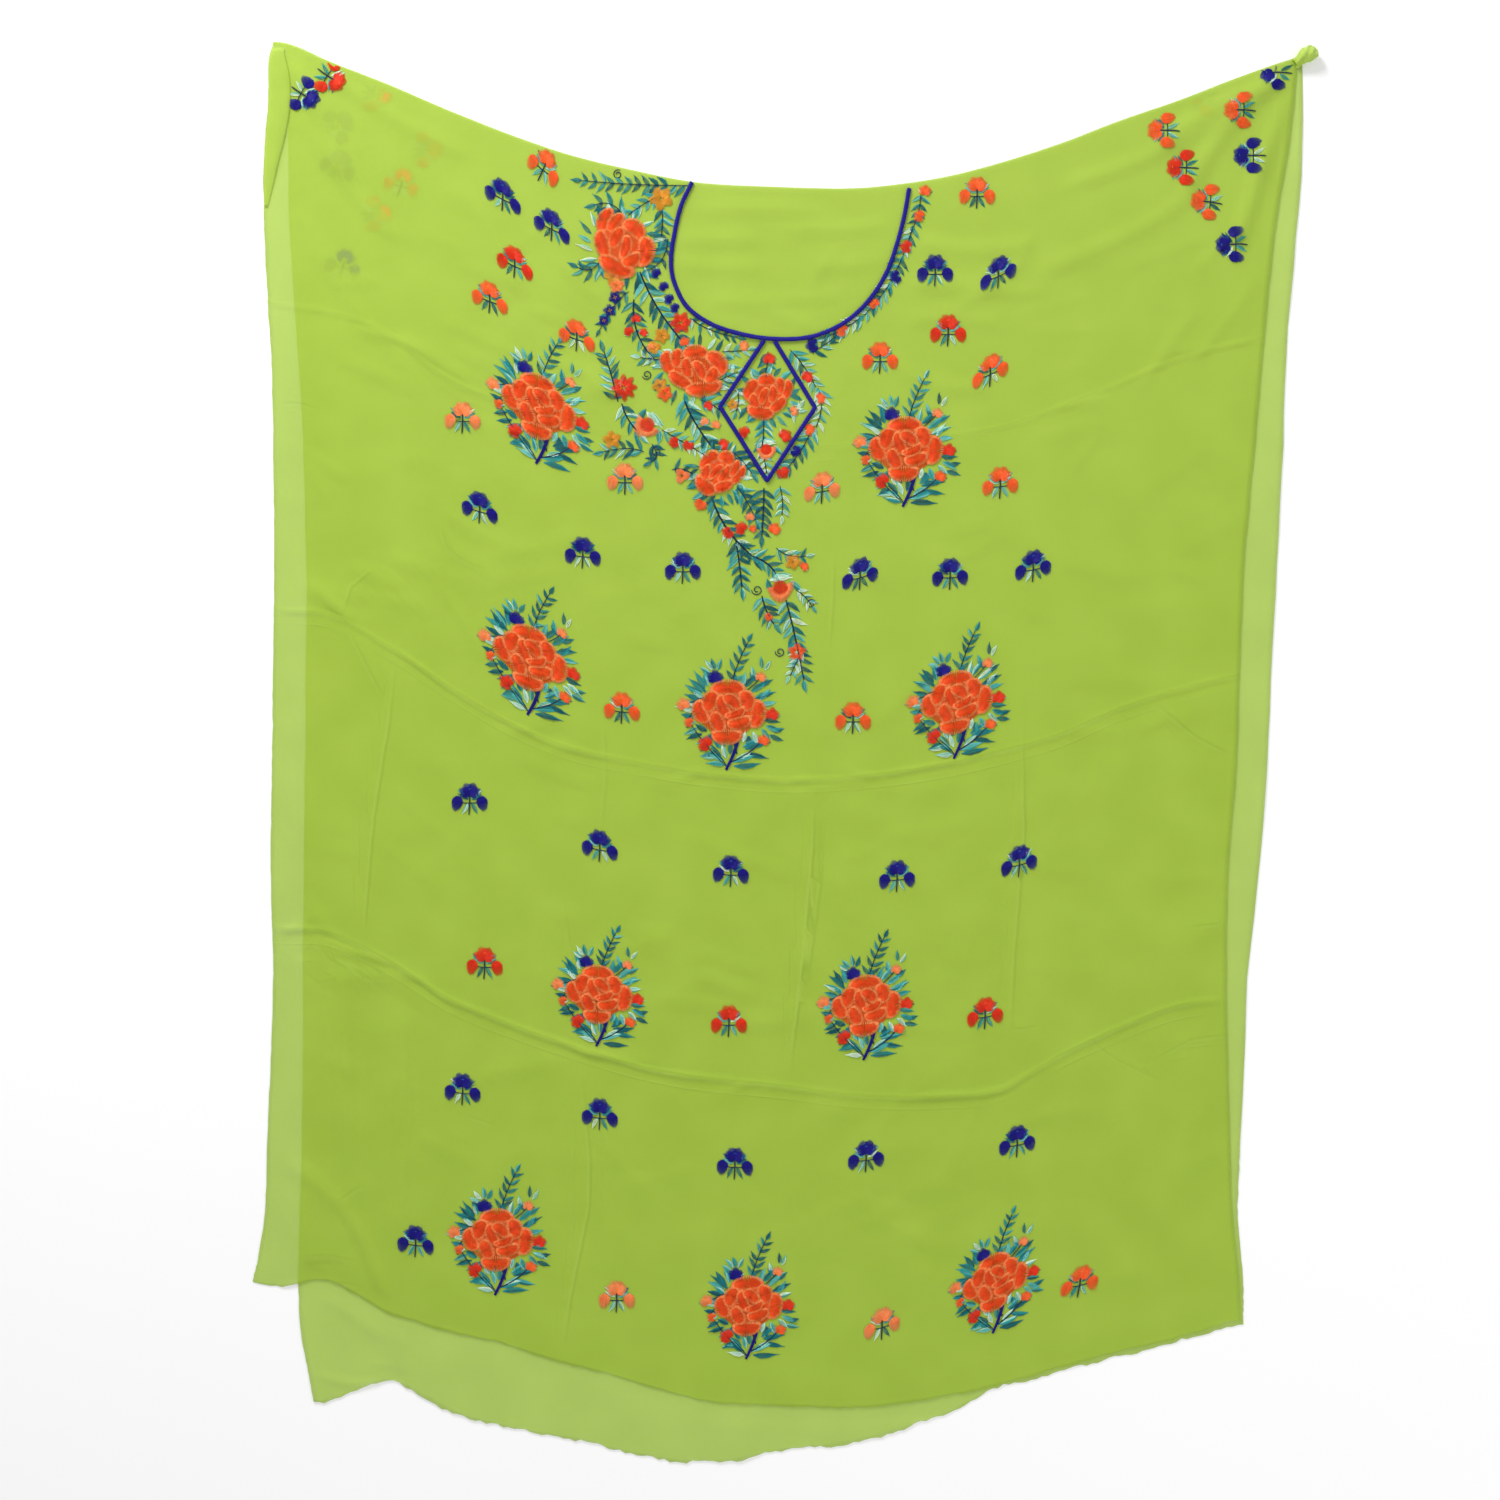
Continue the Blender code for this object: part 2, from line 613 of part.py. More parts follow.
def build_rose(name, rose, height, look, group):
    """A large rose worked thick: a low crowned pad with one lobe for each outer petal."""
    pad = bmesh.new()
    sheets = []
    for crowned in (True, False):
        floor = height(rose.across, rose.down, ROSE_REACH) + PAD_GAP
        middle = pad.verts.new((rose.across, rose.down, floor + (ROSE_CROWN if crowned else 0.0)))
        rings = []
        for share in ROSE_RINGS:
            ring = []
            for k in range(ROSE_SIDES):
                angle = 2 * math.pi * k / ROSE_SIDES
                lobe = abs(math.sin(0.5 * ROSE_PETALS * (angle - math.radians(rose.turn))))
                reach = rose.radius * share * (1.0 - ROSE_LOBE + 2 * ROSE_LOBE * (lobe - 0.5) * share)
                x = rose.across + reach * math.cos(angle)
                y = rose.down + reach * math.sin(angle)
                rise = ROSE_RIM_HEIGHT + (ROSE_CROWN - ROSE_RIM_HEIGHT) * (1.0 - share * share)
                floor = height(x, y, ROSE_REACH) + PAD_GAP
                ring.append(pad.verts.new((x, y, floor + (rise if crowned else 0.0))))
            rings.append(ring)
        sheets.append(rings)
        for k in range(ROSE_SIDES):
            nxt = (k + 1) % ROSE_SIDES
            pad.faces.new((middle, rings[0][k], rings[0][nxt]))
            pad.faces.new((rings[0][k], rings[1][k], rings[1][nxt], rings[0][nxt]))
    for k in range(ROSE_SIDES):
        nxt = (k + 1) % ROSE_SIDES
        pad.faces.new((sheets[0][1][k], sheets[0][1][nxt], sheets[1][1][nxt], sheets[1][1][k]))
    bmesh.ops.recalc_face_normals(pad, faces=pad.faces)
    mesh = bpy.data.meshes.new(name)
    pad.to_mesh(mesh)
    pad.free()
    return add_object(name, mesh, look, group)


def main():
    clear_scene()
    group = collection("kurti_length")
    georgette = material("georgette", LIME, 0.72)
    navy_yarn = material("navy_yarn", NAVY, 0.60)
    orange_yarn = material("orange_yarn", ORANGE, 0.65)
    build_back(georgette, group)
    front = build_front(georgette, group)
    bpy.context.view_layer.update()
    height = surface_finder(front)
    build_tab(height, georgette, group)
    build_knot(georgette, group)
    build_cord("neck_cord", smooth_path(NECK_LINE, CORD_STEP), height, navy_yarn, group)
    build_cord("placket_cord", diamond_path(), height, navy_yarn, group, ring=True)
    for number, rose in enumerate(ROSES, 1):
        build_rose(f"rose_{number:02d}", rose, height, orange_yarn, group)


main()
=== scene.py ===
"""The looks of an embroidered kurti length in lime georgette, folded at the shoulder line and laid flat.

Metres, +Z up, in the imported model's frame. Sizes inside an embroidered motif are in millimetres.
"""

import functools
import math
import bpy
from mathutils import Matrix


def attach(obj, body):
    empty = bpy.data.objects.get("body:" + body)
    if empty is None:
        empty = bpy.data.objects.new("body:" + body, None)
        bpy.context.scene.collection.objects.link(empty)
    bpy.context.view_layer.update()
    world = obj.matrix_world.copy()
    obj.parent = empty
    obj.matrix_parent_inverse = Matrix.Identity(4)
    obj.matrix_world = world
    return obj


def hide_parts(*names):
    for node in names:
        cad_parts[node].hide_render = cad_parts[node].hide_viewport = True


bl_info = {
    "name": "Embroidered kurti length",
    "version": (1, 0, 0),
    "blender": (4, 5, 0),
    "location": "3D View > Sidebar > Kurti",
    "description": "Sheer cloth panels, corded neckline and thread embroidery of a kurti length laid flat",
    "category": "Object",
}

from collections import namedtuple

import bpy
import numpy as np
from bpy.props import FloatProperty, FloatVectorProperty, IntProperty, PointerProperty

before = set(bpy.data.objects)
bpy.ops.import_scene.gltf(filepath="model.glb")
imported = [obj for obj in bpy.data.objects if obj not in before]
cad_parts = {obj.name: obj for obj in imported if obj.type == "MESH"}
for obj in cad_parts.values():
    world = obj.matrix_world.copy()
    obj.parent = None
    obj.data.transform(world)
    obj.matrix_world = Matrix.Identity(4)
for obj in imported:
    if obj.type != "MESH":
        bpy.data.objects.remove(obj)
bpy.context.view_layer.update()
BODY = "root"
MM = 0.001

# The photograph's middle, and its pixel over the model's origin, at one millimetre for each pixel
PHOTO_MIDDLE = (750.0, 750.0)
PHOTO_ORIGIN = (785.5, 752.0)
PHOTO_SIDE = 1.5
LENS = 72.0
SENSOR = 36.0

# Cloth sizes
HALF_WIDTH = 0.5325
FRONT_BASE = 0.0013
STEP_START = 0.010
STEP_WIDTH = 0.010
FOLD_LIP = 0.0030
LOFT = 0.0006
BACK_START = 0.0045
EDGE_ROOM = 0.0015
FOLD_ROLL = 0.00115
THREAD_CLEARANCE = 0.0003

Station = namedtuple("Station", "across fold high_crease middle_crease low_crease front_hem back_hem")
STATIONS = tuple(
    Station(*row)
    for row in (
        (-0.5325, 0.710, 0.449, 0.142, -0.176, -0.530, -0.600),
        (-0.5005, 0.709, 0.446, 0.140, -0.178, -0.534, -0.642),
        (-0.4555, 0.690, 0.440, 0.136, -0.181, -0.529, -0.648),
        (-0.3955, 0.667, 0.417, 0.104, -0.210, -0.560, -0.629),
        (-0.3355, 0.641, 0.371, 0.064, -0.248, -0.579, -0.658),
        (-0.2755, 0.617, 0.347, 0.028, -0.273, -0.594, -0.676),
        (-0.2155, 0.597, 0.327, 0.003, -0.294, -0.611, -0.686),
        (-0.1455, 0.580, 0.312, -0.012, -0.315, -0.631, -0.703),
        (-0.0855, 0.569, 0.305, -0.022, -0.326, -0.648, -0.711),
        (-0.0055, 0.565, 0.302, -0.029, -0.334, -0.653, -0.700),
        (0.0745, 0.564, 0.307, -0.025, -0.344, -0.654, -0.688),
        (0.1545, 0.574, 0.315, -0.014, -0.345, -0.644, -0.664),
        (0.2145, 0.589, 0.324, 0.000, -0.338, -0.631, -0.636),
        (0.2745, 0.608, 0.344, 0.017, -0.304, -0.615, -0.620),
        (0.3345, 0.631, 0.369, 0.043, -0.276, -0.599, -0.603),
        (0.3945, 0.652, 0.392, 0.062, -0.254, -0.585, -0.589),
        (0.4545, 0.675, 0.409, 0.076, -0.248, -0.568, -0.571),
        (0.5145, 0.696, 0.417, 0.084, -0.243, -0.560, -0.562),
    )
)

Section = namedtuple("Section", "down front_left front_right back_left back_right")
SECTIONS = tuple(
    Section(*row)
    for row in (
        (0.710, -0.5120, 0.5100, -0.5000, 0.5150),
        (0.692, -0.5165, 0.5110, -0.4995, 0.5165),
        (0.652, -0.5175, 0.5085, -0.4985, 0.5175),
        (0.592, -0.5215, 0.5005, -0.4975, 0.5165),
        (0.532, -0.5215, 0.4905, -0.4965, 0.5125),
        (0.462, -0.5185, 0.4825, -0.4925, 0.5055),
        (0.392, -0.5145, 0.4765, -0.4875, 0.5005),
        (0.312, -0.5125, 0.4695, -0.4825, 0.4975),
        (0.192, -0.5115, 0.4585, -0.4795, 0.4915),
        (0.072, -0.5125, 0.4535, -0.4795, 0.4855),
        (-0.018, -0.5135, 0.4505, -0.4805, 0.4815),
        (-0.118, -0.5145, 0.4425, -0.4815, 0.4735),
        (-0.218, -0.5125, 0.4405, -0.4825, 0.4625),
        (-0.288, -0.5135, 0.4415, -0.4825, 0.4595),
        (-0.368, -0.5175, 0.4435, -0.4835, 0.4555),
        (-0.458, -0.5205, 0.4465, -0.4855, 0.4525),
        (-0.508, -0.5275, 0.4515, -0.4870, 0.4560),
        (-0.531, -0.5325, 0.4535, -0.4875, 0.4575),
        (-0.578, -0.5325, 0.4555, -0.4845, 0.4580),
        (-0.648, -0.5325, 0.4555, -0.4720, 0.4580),
    )
)

# Storage creases across the front: which station column each follows, and its relief in millimetres
AcrossCrease = namedtuple("AcrossCrease", "station_column left middle right half_width")
ACROSS_CREASES = (
    AcrossCrease("high_crease", 0.8, 0.3, 1.2, 5.0),
    AcrossCrease("middle_crease", 1.0, 1.5, 1.2, 5.0),
    AcrossCrease("low_crease", 1.8, 2.0, 1.6, 6.0),
)

# Sharp storage creases down the front, in photograph pixels, and how strongly each shows
CreaseLine = namedtuple("CreaseLine", "strength points")
DOWN_CREASES = (
    CreaseLine(0.7, ((397, 647), (389, 725), (374, 817), (366, 909), (365, 936))),
    CreaseLine(0.9, ((815, 781), (812, 860), (804, 950), (796, 1020), (788, 1084))),
    CreaseLine(0.5, ((824, 800), (820, 885), (811, 950), (804, 1000))),
    CreaseLine(0.4, ((834, 548), (833, 600), (828, 660))),
    CreaseLine(0.6, ((1022, 698), (1024, 836), (1014, 956), (1010, 1042))),
    CreaseLine(0.7, ((579, 1050), (590, 1161), (589, 1208), (570, 1300), (562, 1362))),
    CreaseLine(0.25, ((603, 700), (606, 780), (600, 842))),
    CreaseLine(0.25, ((560, 880), (572, 960), (578, 1040))),
    CreaseLine(0.5, ((377, 566), (351, 587), (342, 615))),
    CreaseLine(0.5, ((345, 624), (372, 676), (382, 697))),
    CreaseLine(0.3, ((437, 511), (446, 547), (464, 563), (495, 573))),
    CreaseLine(0.6, ((1148, 698), (1193, 736), (1234, 758))),
    CreaseLine(0.5, ((1241, 739), (1265, 755))),
    CreaseLine(0.5, ((1150, 1062), (1190, 1040), (1236, 1034))),
    CreaseLine(0.5, ((1189, 928), (1224, 923))),
    CreaseLine(0.5, ((1007, 1030), (1038, 1027))),
    CreaseLine(0.4, ((460, 1113), (498, 1127))),
    CreaseLine(0.55, ((317, 941), (331, 962), (350, 966), (366, 980), (394, 978))),
    CreaseLine(0.45, ((273, 948), (300, 952), (332, 944), (352, 956), (388, 962))),
    CreaseLine(0.3, ((300, 968), (318, 984), (340, 978))),
    CreaseLine(0.5, ((277, 404), (300, 404), (318, 410))),
    CreaseLine(0.4, ((1086, 1040), (1120, 1062), (1170, 1086))),
    CreaseLine(0.5, ((301, 1256), (333, 1256), (359, 1262))),
    CreaseLine(0.5, ((299, 1282), (329, 1281), (366, 1288))),
    CreaseLine(0.5, ((338, 1202), (352, 1192), (366, 1185))),
)
CREASE_REACH = 12.0

ACROSS_STRENGTHS = (0.45, 0.85, 1.0)

# Folds and creases, in photograph pixels, with relief and half width in millimetres
Fold = namedtuple("Fold", "x1 y1 x2 y2 x3 y3 relief half_width")
FRONT_FOLDS = tuple(
    Fold(*row)
    for row in (
        # Storage creases down the cloth
        (397, 646, 391, 787, 366, 927, 1.2, 5.0),
        (579, 1052, 620, 1190, 562, 1362, 1.6, 5.0),
        (828, 560, 826, 672, 816, 775, 0.9, 5.0),
        (814, 783, 812, 930, 788, 1084, 1.6, 5.0),
        (819, 885, 811, 950, 800, 1000, 0.8, 5.0),
        (1020, 640, 1023, 852, 1008, 1080, 1.3, 5.0),
        # Soft folds that fall from the two held corners
        (1296, 84, 1265, 142, 1230, 272, 4.0, 12.0),
        (1291, 76, 1220, 102, 1145, 152, 3.5, 14.0),
        (1283, 77, 1210, 127, 1180, 212, 3.0, 14.0),
        (1294, 95, 1278, 190, 1262, 330, 2.4, 8.0),
        (1300, 100, 1290, 200, 1283, 330, 2.0, 5.0),
        (1240, 110, 1150, 165, 1050, 190, 2.2, 13.0),
        (1200, 190, 1120, 250, 1030, 270, 1.8, 14.0),
        (290, 57, 320, 112, 355, 192, 3.0, 14.0),
        (300, 110, 340, 190, 400, 240, 1.8, 13.0),
        (296, 200, 330, 290, 390, 350, 1.2, 14.0),
        (325, 70, 400, 130, 480, 160, 1.6, 12.0),
        # Soft drag folds beside the neck
        (910, 240, 970, 260, 1040, 242, 2.0, 14.0),
        (900, 322, 950, 312, 1010, 327, 1.8, 13.0),
        (905, 280, 960, 300, 1060, 290, 1.6, 9.0),
        (880, 360, 930, 392, 1010, 392, 1.3, 12.0),
        (675, 237, 715, 244, 765, 237, 1.4, 12.0),
        (672, 262, 712, 272, 770, 266, 1.2, 9.0),
        (690, 212, 750, 206, 830, 214, 1.3, 10.0),
        (780, 228, 840, 234, 896, 224, 1.5, 10.0),
        (700, 300, 765, 306, 850, 294, 1.3, 10.0),
        (800, 262, 850, 270, 892, 258, 1.2, 9.0),
        (550, 360, 590, 377, 640, 402, 1.5, 12.0),
        (437, 511, 447, 560, 495, 573, 1.2, 7.0),
        (450, 180, 500, 230, 520, 300, 1.2, 14.0),
        (400, 250, 430, 330, 450, 400, 1.0, 16.0),
        # Small creases at both sides
        (377, 566, 355, 583, 342, 615, 1.3, 5.0),
        (345, 624, 362, 655, 382, 697, 1.3, 5.0),
        (1148, 698, 1190, 735, 1234, 758, 1.2, 5.0),
        (1241, 739, 1253, 749, 1265, 755, 1.0, 4.0),
        (1148, 1020, 1190, 1052, 1224, 1030, 1.1, 5.0),
        (1189, 928, 1207, 928, 1224, 923, 0.9, 4.0),
        (1007, 1030, 1022, 1034, 1038, 1027, 0.9, 4.0),
        (460, 1113, 479, 1118, 498, 1127, 0.9, 4.0),
        (273, 948, 330, 985, 396, 978, 2.2, 6.0),
        (317, 941, 350, 948, 392, 966, 2.0, 4.0),
        (300, 940, 330, 962, 345, 985, 1.2, 4.0),
        # The turned corner at the bottom left
        (270, 1157, 362, 1190, 385, 1308, 3.4, 8.0),
        (336, 1204, 350, 1192, 367, 1184, 1.4, 5.0),
        (303, 1262, 340, 1250, 372, 1266, 1.3, 6.0),
        (345, 940, 345, 1072, 345, 1182, 2.2, 14.0),
        (400, 980, 406, 1152, 398, 1307, 2.2, 12.0),
    )
)
BACK_FOLDS = tuple(
    Fold(*row)
    for row in (
        (309, 1290, 350, 1308, 390, 1345, 1.8, 7.0),
        (398, 1322, 399, 1348, 400, 1376, 2.6, 7.0),
        (600, 1388, 600, 1412, 596, 1440, 1.2, 4.0),
        (360, 1318, 352, 1340, 342, 1372, 0.9, 5.0),
        (372, 1360, 380, 1368, 390, 1362, 1.0, 4.0),
        (318, 1372, 350, 1392, 384, 1378, 1.4, 6.0),
    )
)
DRAG_COUNT = 210
BACK_FOLD_START = 0.012
BACK_FOLD_FADE = 0.012

# The side edge folded over below the top left corner: its width at stations down the edge
TabSection = namedtuple("TabSection", "down width")
TAB = (
    TabSection(0.703, 0.0130),
    TabSection(0.680, 0.0195),
    TabSection(0.650, 0.0215),
    TabSection(0.615, 0.0190),
    TabSection(0.580, 0.0125),
    TabSection(0.545, 0.0030),
)

# The twisted tip at the top right corner
KnotSection = namedtuple("KnotSection", "across down height radius turn")
KNOT = (
    KnotSection(0.5085, 0.6870, 0.0048, 0.0050, 0.0),
    KnotSection(0.5125, 0.6905, 0.0062, 0.0056, 8.0),
    KnotSection(0.5170, 0.6940, 0.0074, 0.0074, 18.0),
    KnotSection(0.5225, 0.6970, 0.0080, 0.0079, 44.0),
    KnotSection(0.5275, 0.6990, 0.0076, 0.0068, 72.0),
    KnotSection(0.5308, 0.7000, 0.0064, 0.0036, 96.0),
)
KNOT_PLEATS = 5

# Corded lines, in photograph pixels
NECK_LINE = (
    (692, 183), (681, 207), (674, 237), (671, 262), (674, 282), (687, 307), (712, 325), (743, 335), (768, 339),
    (800, 339), (825, 333), (850, 319), (871, 298), (887, 272), (897, 244), (904, 217), (909, 189),
)
DIAMOND = ((764, 341), (720, 407), (767, 481), (815, 408), (775, 342))

# Motifs, in photograph pixels. Turn is in degrees, anticlockwise; size is 1 for the usual motif
Bouquet = namedtuple("Bouquet", "x y slope turn size")
BOUQUETS = tuple(
    Bouquet(*row)
    for row in (
        (539, 407, -0.33, 0, 1.0),
        (905.5, 449, 0.02, 0, 1.0),
        (530.5, 658, -0.32, 0, 1.0),
        (729, 712, 0.00, 0, 1.0),
        (956.5, 702, 0.16, 0, 0.97),
        (599, 994, -0.08, 0, 0.90),
        (866, 1005, 0.10, 0, 0.94),
        (498, 1239, 0.00, 0, 0.96),
        (748.5, 1305, 0.06, 0, 0.92),
        (995, 1281, 0.33, 0, 0.88),
    )
)
NeckRose = namedtuple("NeckRose", "x y width height turn mirror")
NECK_ROSES = tuple(
    NeckRose(*row)
    for row in (
        (621, 245, 70, 60, -38, 1),
        (694.5, 371, 68, 52, 0, 1),
        (767.5, 397, 50, 46, 0, -1),
        (719, 474, 46, 50, -28, -1),
    )
)

# Sprigs. Slope is how far the cloth's weft rises across the motif, and turn is in degrees, anticlockwise
Sprig = namedtuple("Sprig", "x y slope turn colour")
SPRIGS = tuple(
    Sprig(*row)
    for row in (
        (545, 166, -0.30, -22, "orange"), (515, 262, -0.45, 0, "red"), (490, 297, -0.38, 0, "orange"),
        (577, 335, -0.35, 0, "orange"), (463, 417, -0.05, 0, "peach"), (625, 478, -0.05, 2, "peach"),
        (977, 192, 0.00, 0, "orange"), (948, 330, 0.00, 0, "red"), (880, 357, 0.00, 0, "orange"),
        (990, 370, 0.45, 0, "orange"), (1000, 482, 0.10, 0, "orange"), (822, 487, 0.15, 0, "peach"),
        (622, 707, -0.10, 0, "orange"), (853, 717, 0.00, 0, "orange"), (485, 962, -0.05, 0, "red"),
        (729, 1020, 0.00, 0, "red"), (985, 1012, 0.15, 0, "red"), (617, 1295, 0.00, 0, "peach"),
        (882, 1322, 0.30, 0, "peach"), (1080, 1280, 0.40, -8, "orange"), (503, 195, -0.52, 0, "navy"),
        (552, 225, -0.50, 0, "navy"), (935, 270, 0.00, 0, "navy"), (998, 272, 0.45, 0, "navy"),
        (480, 507, -0.30, 0, "navy"), (583, 552, -0.10, 0, "navy"), (683, 567, 0.00, 0, "navy"),
        (860, 573, 0.28, 0, "navy"), (950, 573, 0.05, 0, "navy"), (1033, 565, 0.20, 0, "navy"),
        (470, 798, 0.00, 0, "navy"), (600, 845, -0.20, 0, "navy"), (731, 870, -0.05, 0, "navy"),
        (897, 875, 0.08, 0, "navy"), (1019, 860, 0.25, 0, "navy"), (463, 1088, -0.10, 0, "navy"),
        (600, 1113, -0.10, 0, "navy"), (735, 1162, -0.05, 0, "navy"), (866, 1155, 0.12, 0, "navy"),
        (1017, 1140, 0.20, 0, "navy"), (416, 1240, -0.12, 0, "navy"),
        # The right sleeve's group
        (1275, 73, -0.20, 90, "navy"), (1238, 111, 0.00, 90, "orange"), (1248, 156, 0.00, 90, "navy"),
        (1162, 131, 0.00, 88, "orange"), (1181, 168, 0.00, 88, "red"), (1205, 202, 0.00, 84, "orange"),
        (1230, 245, 0.00, 92, "navy"),
        # The left sleeve's group, as far as it lies on the front
        (306, 97, 0.00, -122, "navy"), (332, 79, 0.00, -122, "red"),
    )
)
BACK_SPRIGS = tuple(
    Sprig(*row)
    for row in (
        (378, 95, 0.0, -100, "orange"), (340, 125, 0.0, -60, "navy"), (339, 164, 0.0, -20, "navy"),
        (428, 150, 0.0, -90, "orange"), (402, 182, 0.0, -15, "orange"), (378, 214, 0.0, -90, "orange"),
        (344, 263, 0.0, -15, "navy"), (1202, 98, 0.0, 85, "orange"),
    )
)

# Parts of a bouquet, in millimetres from the middle of its rose, x to the right and y up. Shade goes from 0, dark
# teal, past teal and aqua to 1, pale
Leaf = namedtuple("Leaf", "x y turn length width shade")
BOUQUET_LEAVES = tuple(
    Leaf(*row)
    for row in (
        # Round the navy bud
        (-17, 42, 128, 13, 4.0, 0.88), (-14, 43, 104, 12, 4.0, 0.55), (-11, 42, 66, 12, 4.0, 0.40),
        (-19, 39, 150, 12, 4.0, 0.72), (-20, 30, 116, 15, 5.0, 0.28), (-9, 30, 128, 12, 4.2, 0.66),
        # Upper left, from the top down
        (-24, 24, 128, 20, 5.2, 0.20), (-23, 20, 140, 23, 5.4, 0.32), (-27, 19, 156, 20, 5.0, 0.52),
        (-25, 14, 142, 17, 4.6, 0.78), (-29, 12, 164, 17, 4.8, 0.14), (-21, 26, 106, 14, 5.0, 0.55),
        (-33, 5, 152, 13, 4.6, 0.62), (-34, 2, 178, 14, 4.4, 0.86),
        # Lower left
        (-36, -6, 168, 13, 4.6, 0.16), (-34, -10, 190, 11, 3.8, 0.84), (-32, -16, 206, 15, 4.4, 0.22),
        (-27, -22, 196, 17, 4.6, 0.12), (-22, -19, 152, 14, 5.4, 0.16), (-20, -24, 212, 15, 4.6, 0.30),
        (-15, -21, 236, 16, 5.8, 0.20), (-16, -40, 202, 14, 4.2, 0.26), (-12, -44, 182, 18, 4.4, 0.66),
        # Upper right, from the top down
        (7, 26, 100, 15, 4.4, 0.34), (12, 26, 70, 15, 4.6, 0.66), (16, 25, 48, 18, 5.0, 0.36),
        (24, 34, 102, 12, 3.8, 0.72), (27, 31, 128, 11, 3.6, 0.24), (36, 42, 58, 12, 3.4, 0.88),
        (33, 44, 92, 12, 3.2, 0.26), (30, 26, 30, 16, 4.4, 0.20), (22, 20, 36, 22, 5.4, 0.50),
        (26, 14, 22, 22, 5.4, 0.30), (31, 12, 50, 16, 4.6, 0.60), (32, 8, 8, 16, 4.6, 0.74),
        # Lower right
        (35, -8, -8, 17, 4.4, 0.18), (37, -14, -28, 17, 4.8, 0.58), (33, -17, -48, 14, 4.4, 0.76),
        (42, -18, 8, 14, 4.4, 0.12), (41, -23, -16, 15, 4.4, 0.22), (24, -20, -66, 15, 5.4, 0.70),
        (20, -24, -92, 12, 5.4, 0.20),
        # Below the rose
        (16, -37, 8, 24, 5.6, 0.16), (18, -42, -12, 22, 4.8, 0.26), (14, -35, 30, 18, 4.6, 0.36),
        (4, -50, 14, 26, 5.6, 0.60), (5, -54, 2, 28, 5.4, 0.18), (8, -46, 30, 18, 4.2, 0.86),
        (-4, -53, 170, 19, 4.6, 0.80), (-5, -49, 152, 19, 4.6, 0.56), (-8, -44, 134, 17, 4.4, 0.24),
        (-3, -46, 108, 16, 4.6, 0.84), (1, -42, 88, 14, 4.4, 0.30), (-9, -36, 118, 12, 4.6, 0.62),
        (-4, -34, 104, 10, 4.4, 0.24), (14, -30, 74, 12, 4.8, 0.80),
    )
)
Bud = namedtuple("Bud", "x y turn size colour")
BOUQUET_BUDS = tuple(
    Bud(*row)
    for row in (
        (-14, 36, 88, 1.45, "navy"), (32, 36, 74, 1.05, "peach"), (-46, 9, 110, 1.30, "peach"),
        (-41, -10, 160, 0.95, "orange"), (-25, -31, 150, 1.45, "red"), (43, -1, 80, 1.32, "red"),
        (35, -27, 70, 1.15, "orange"),
    )
)
Stem = namedtuple("Stem", "x1 y1 x2 y2 x3 y3 width")
BOUQUET_STEMS = tuple(
    Stem(*row)
    for row in (
        (9, -28, 6, -42, -3, -58, 3.6), (4, -29, 7, -36, 8, -42, 1.6), (-38, -12, -24, -34, -3, -54, 1.3),
        (-18, -36, -8, -44, -2, -54, 1.3), (18, 22, 26, 28, 31, 34, 1.2), (2, -50, 22, -42, 33, -28, 1.4),
        (-22, 14, -34, 2, -42, -8, 1.1), (-22, 16, -34, 10, -44, 8, 1.1), (-12, 26, -13, 30, -14, 34, 1.2),
    )
)
FERN_START = (3.0, 30.0)
FERN_BEND = (8.0, 50.0)
FERN_END = (19.0, 70.0)

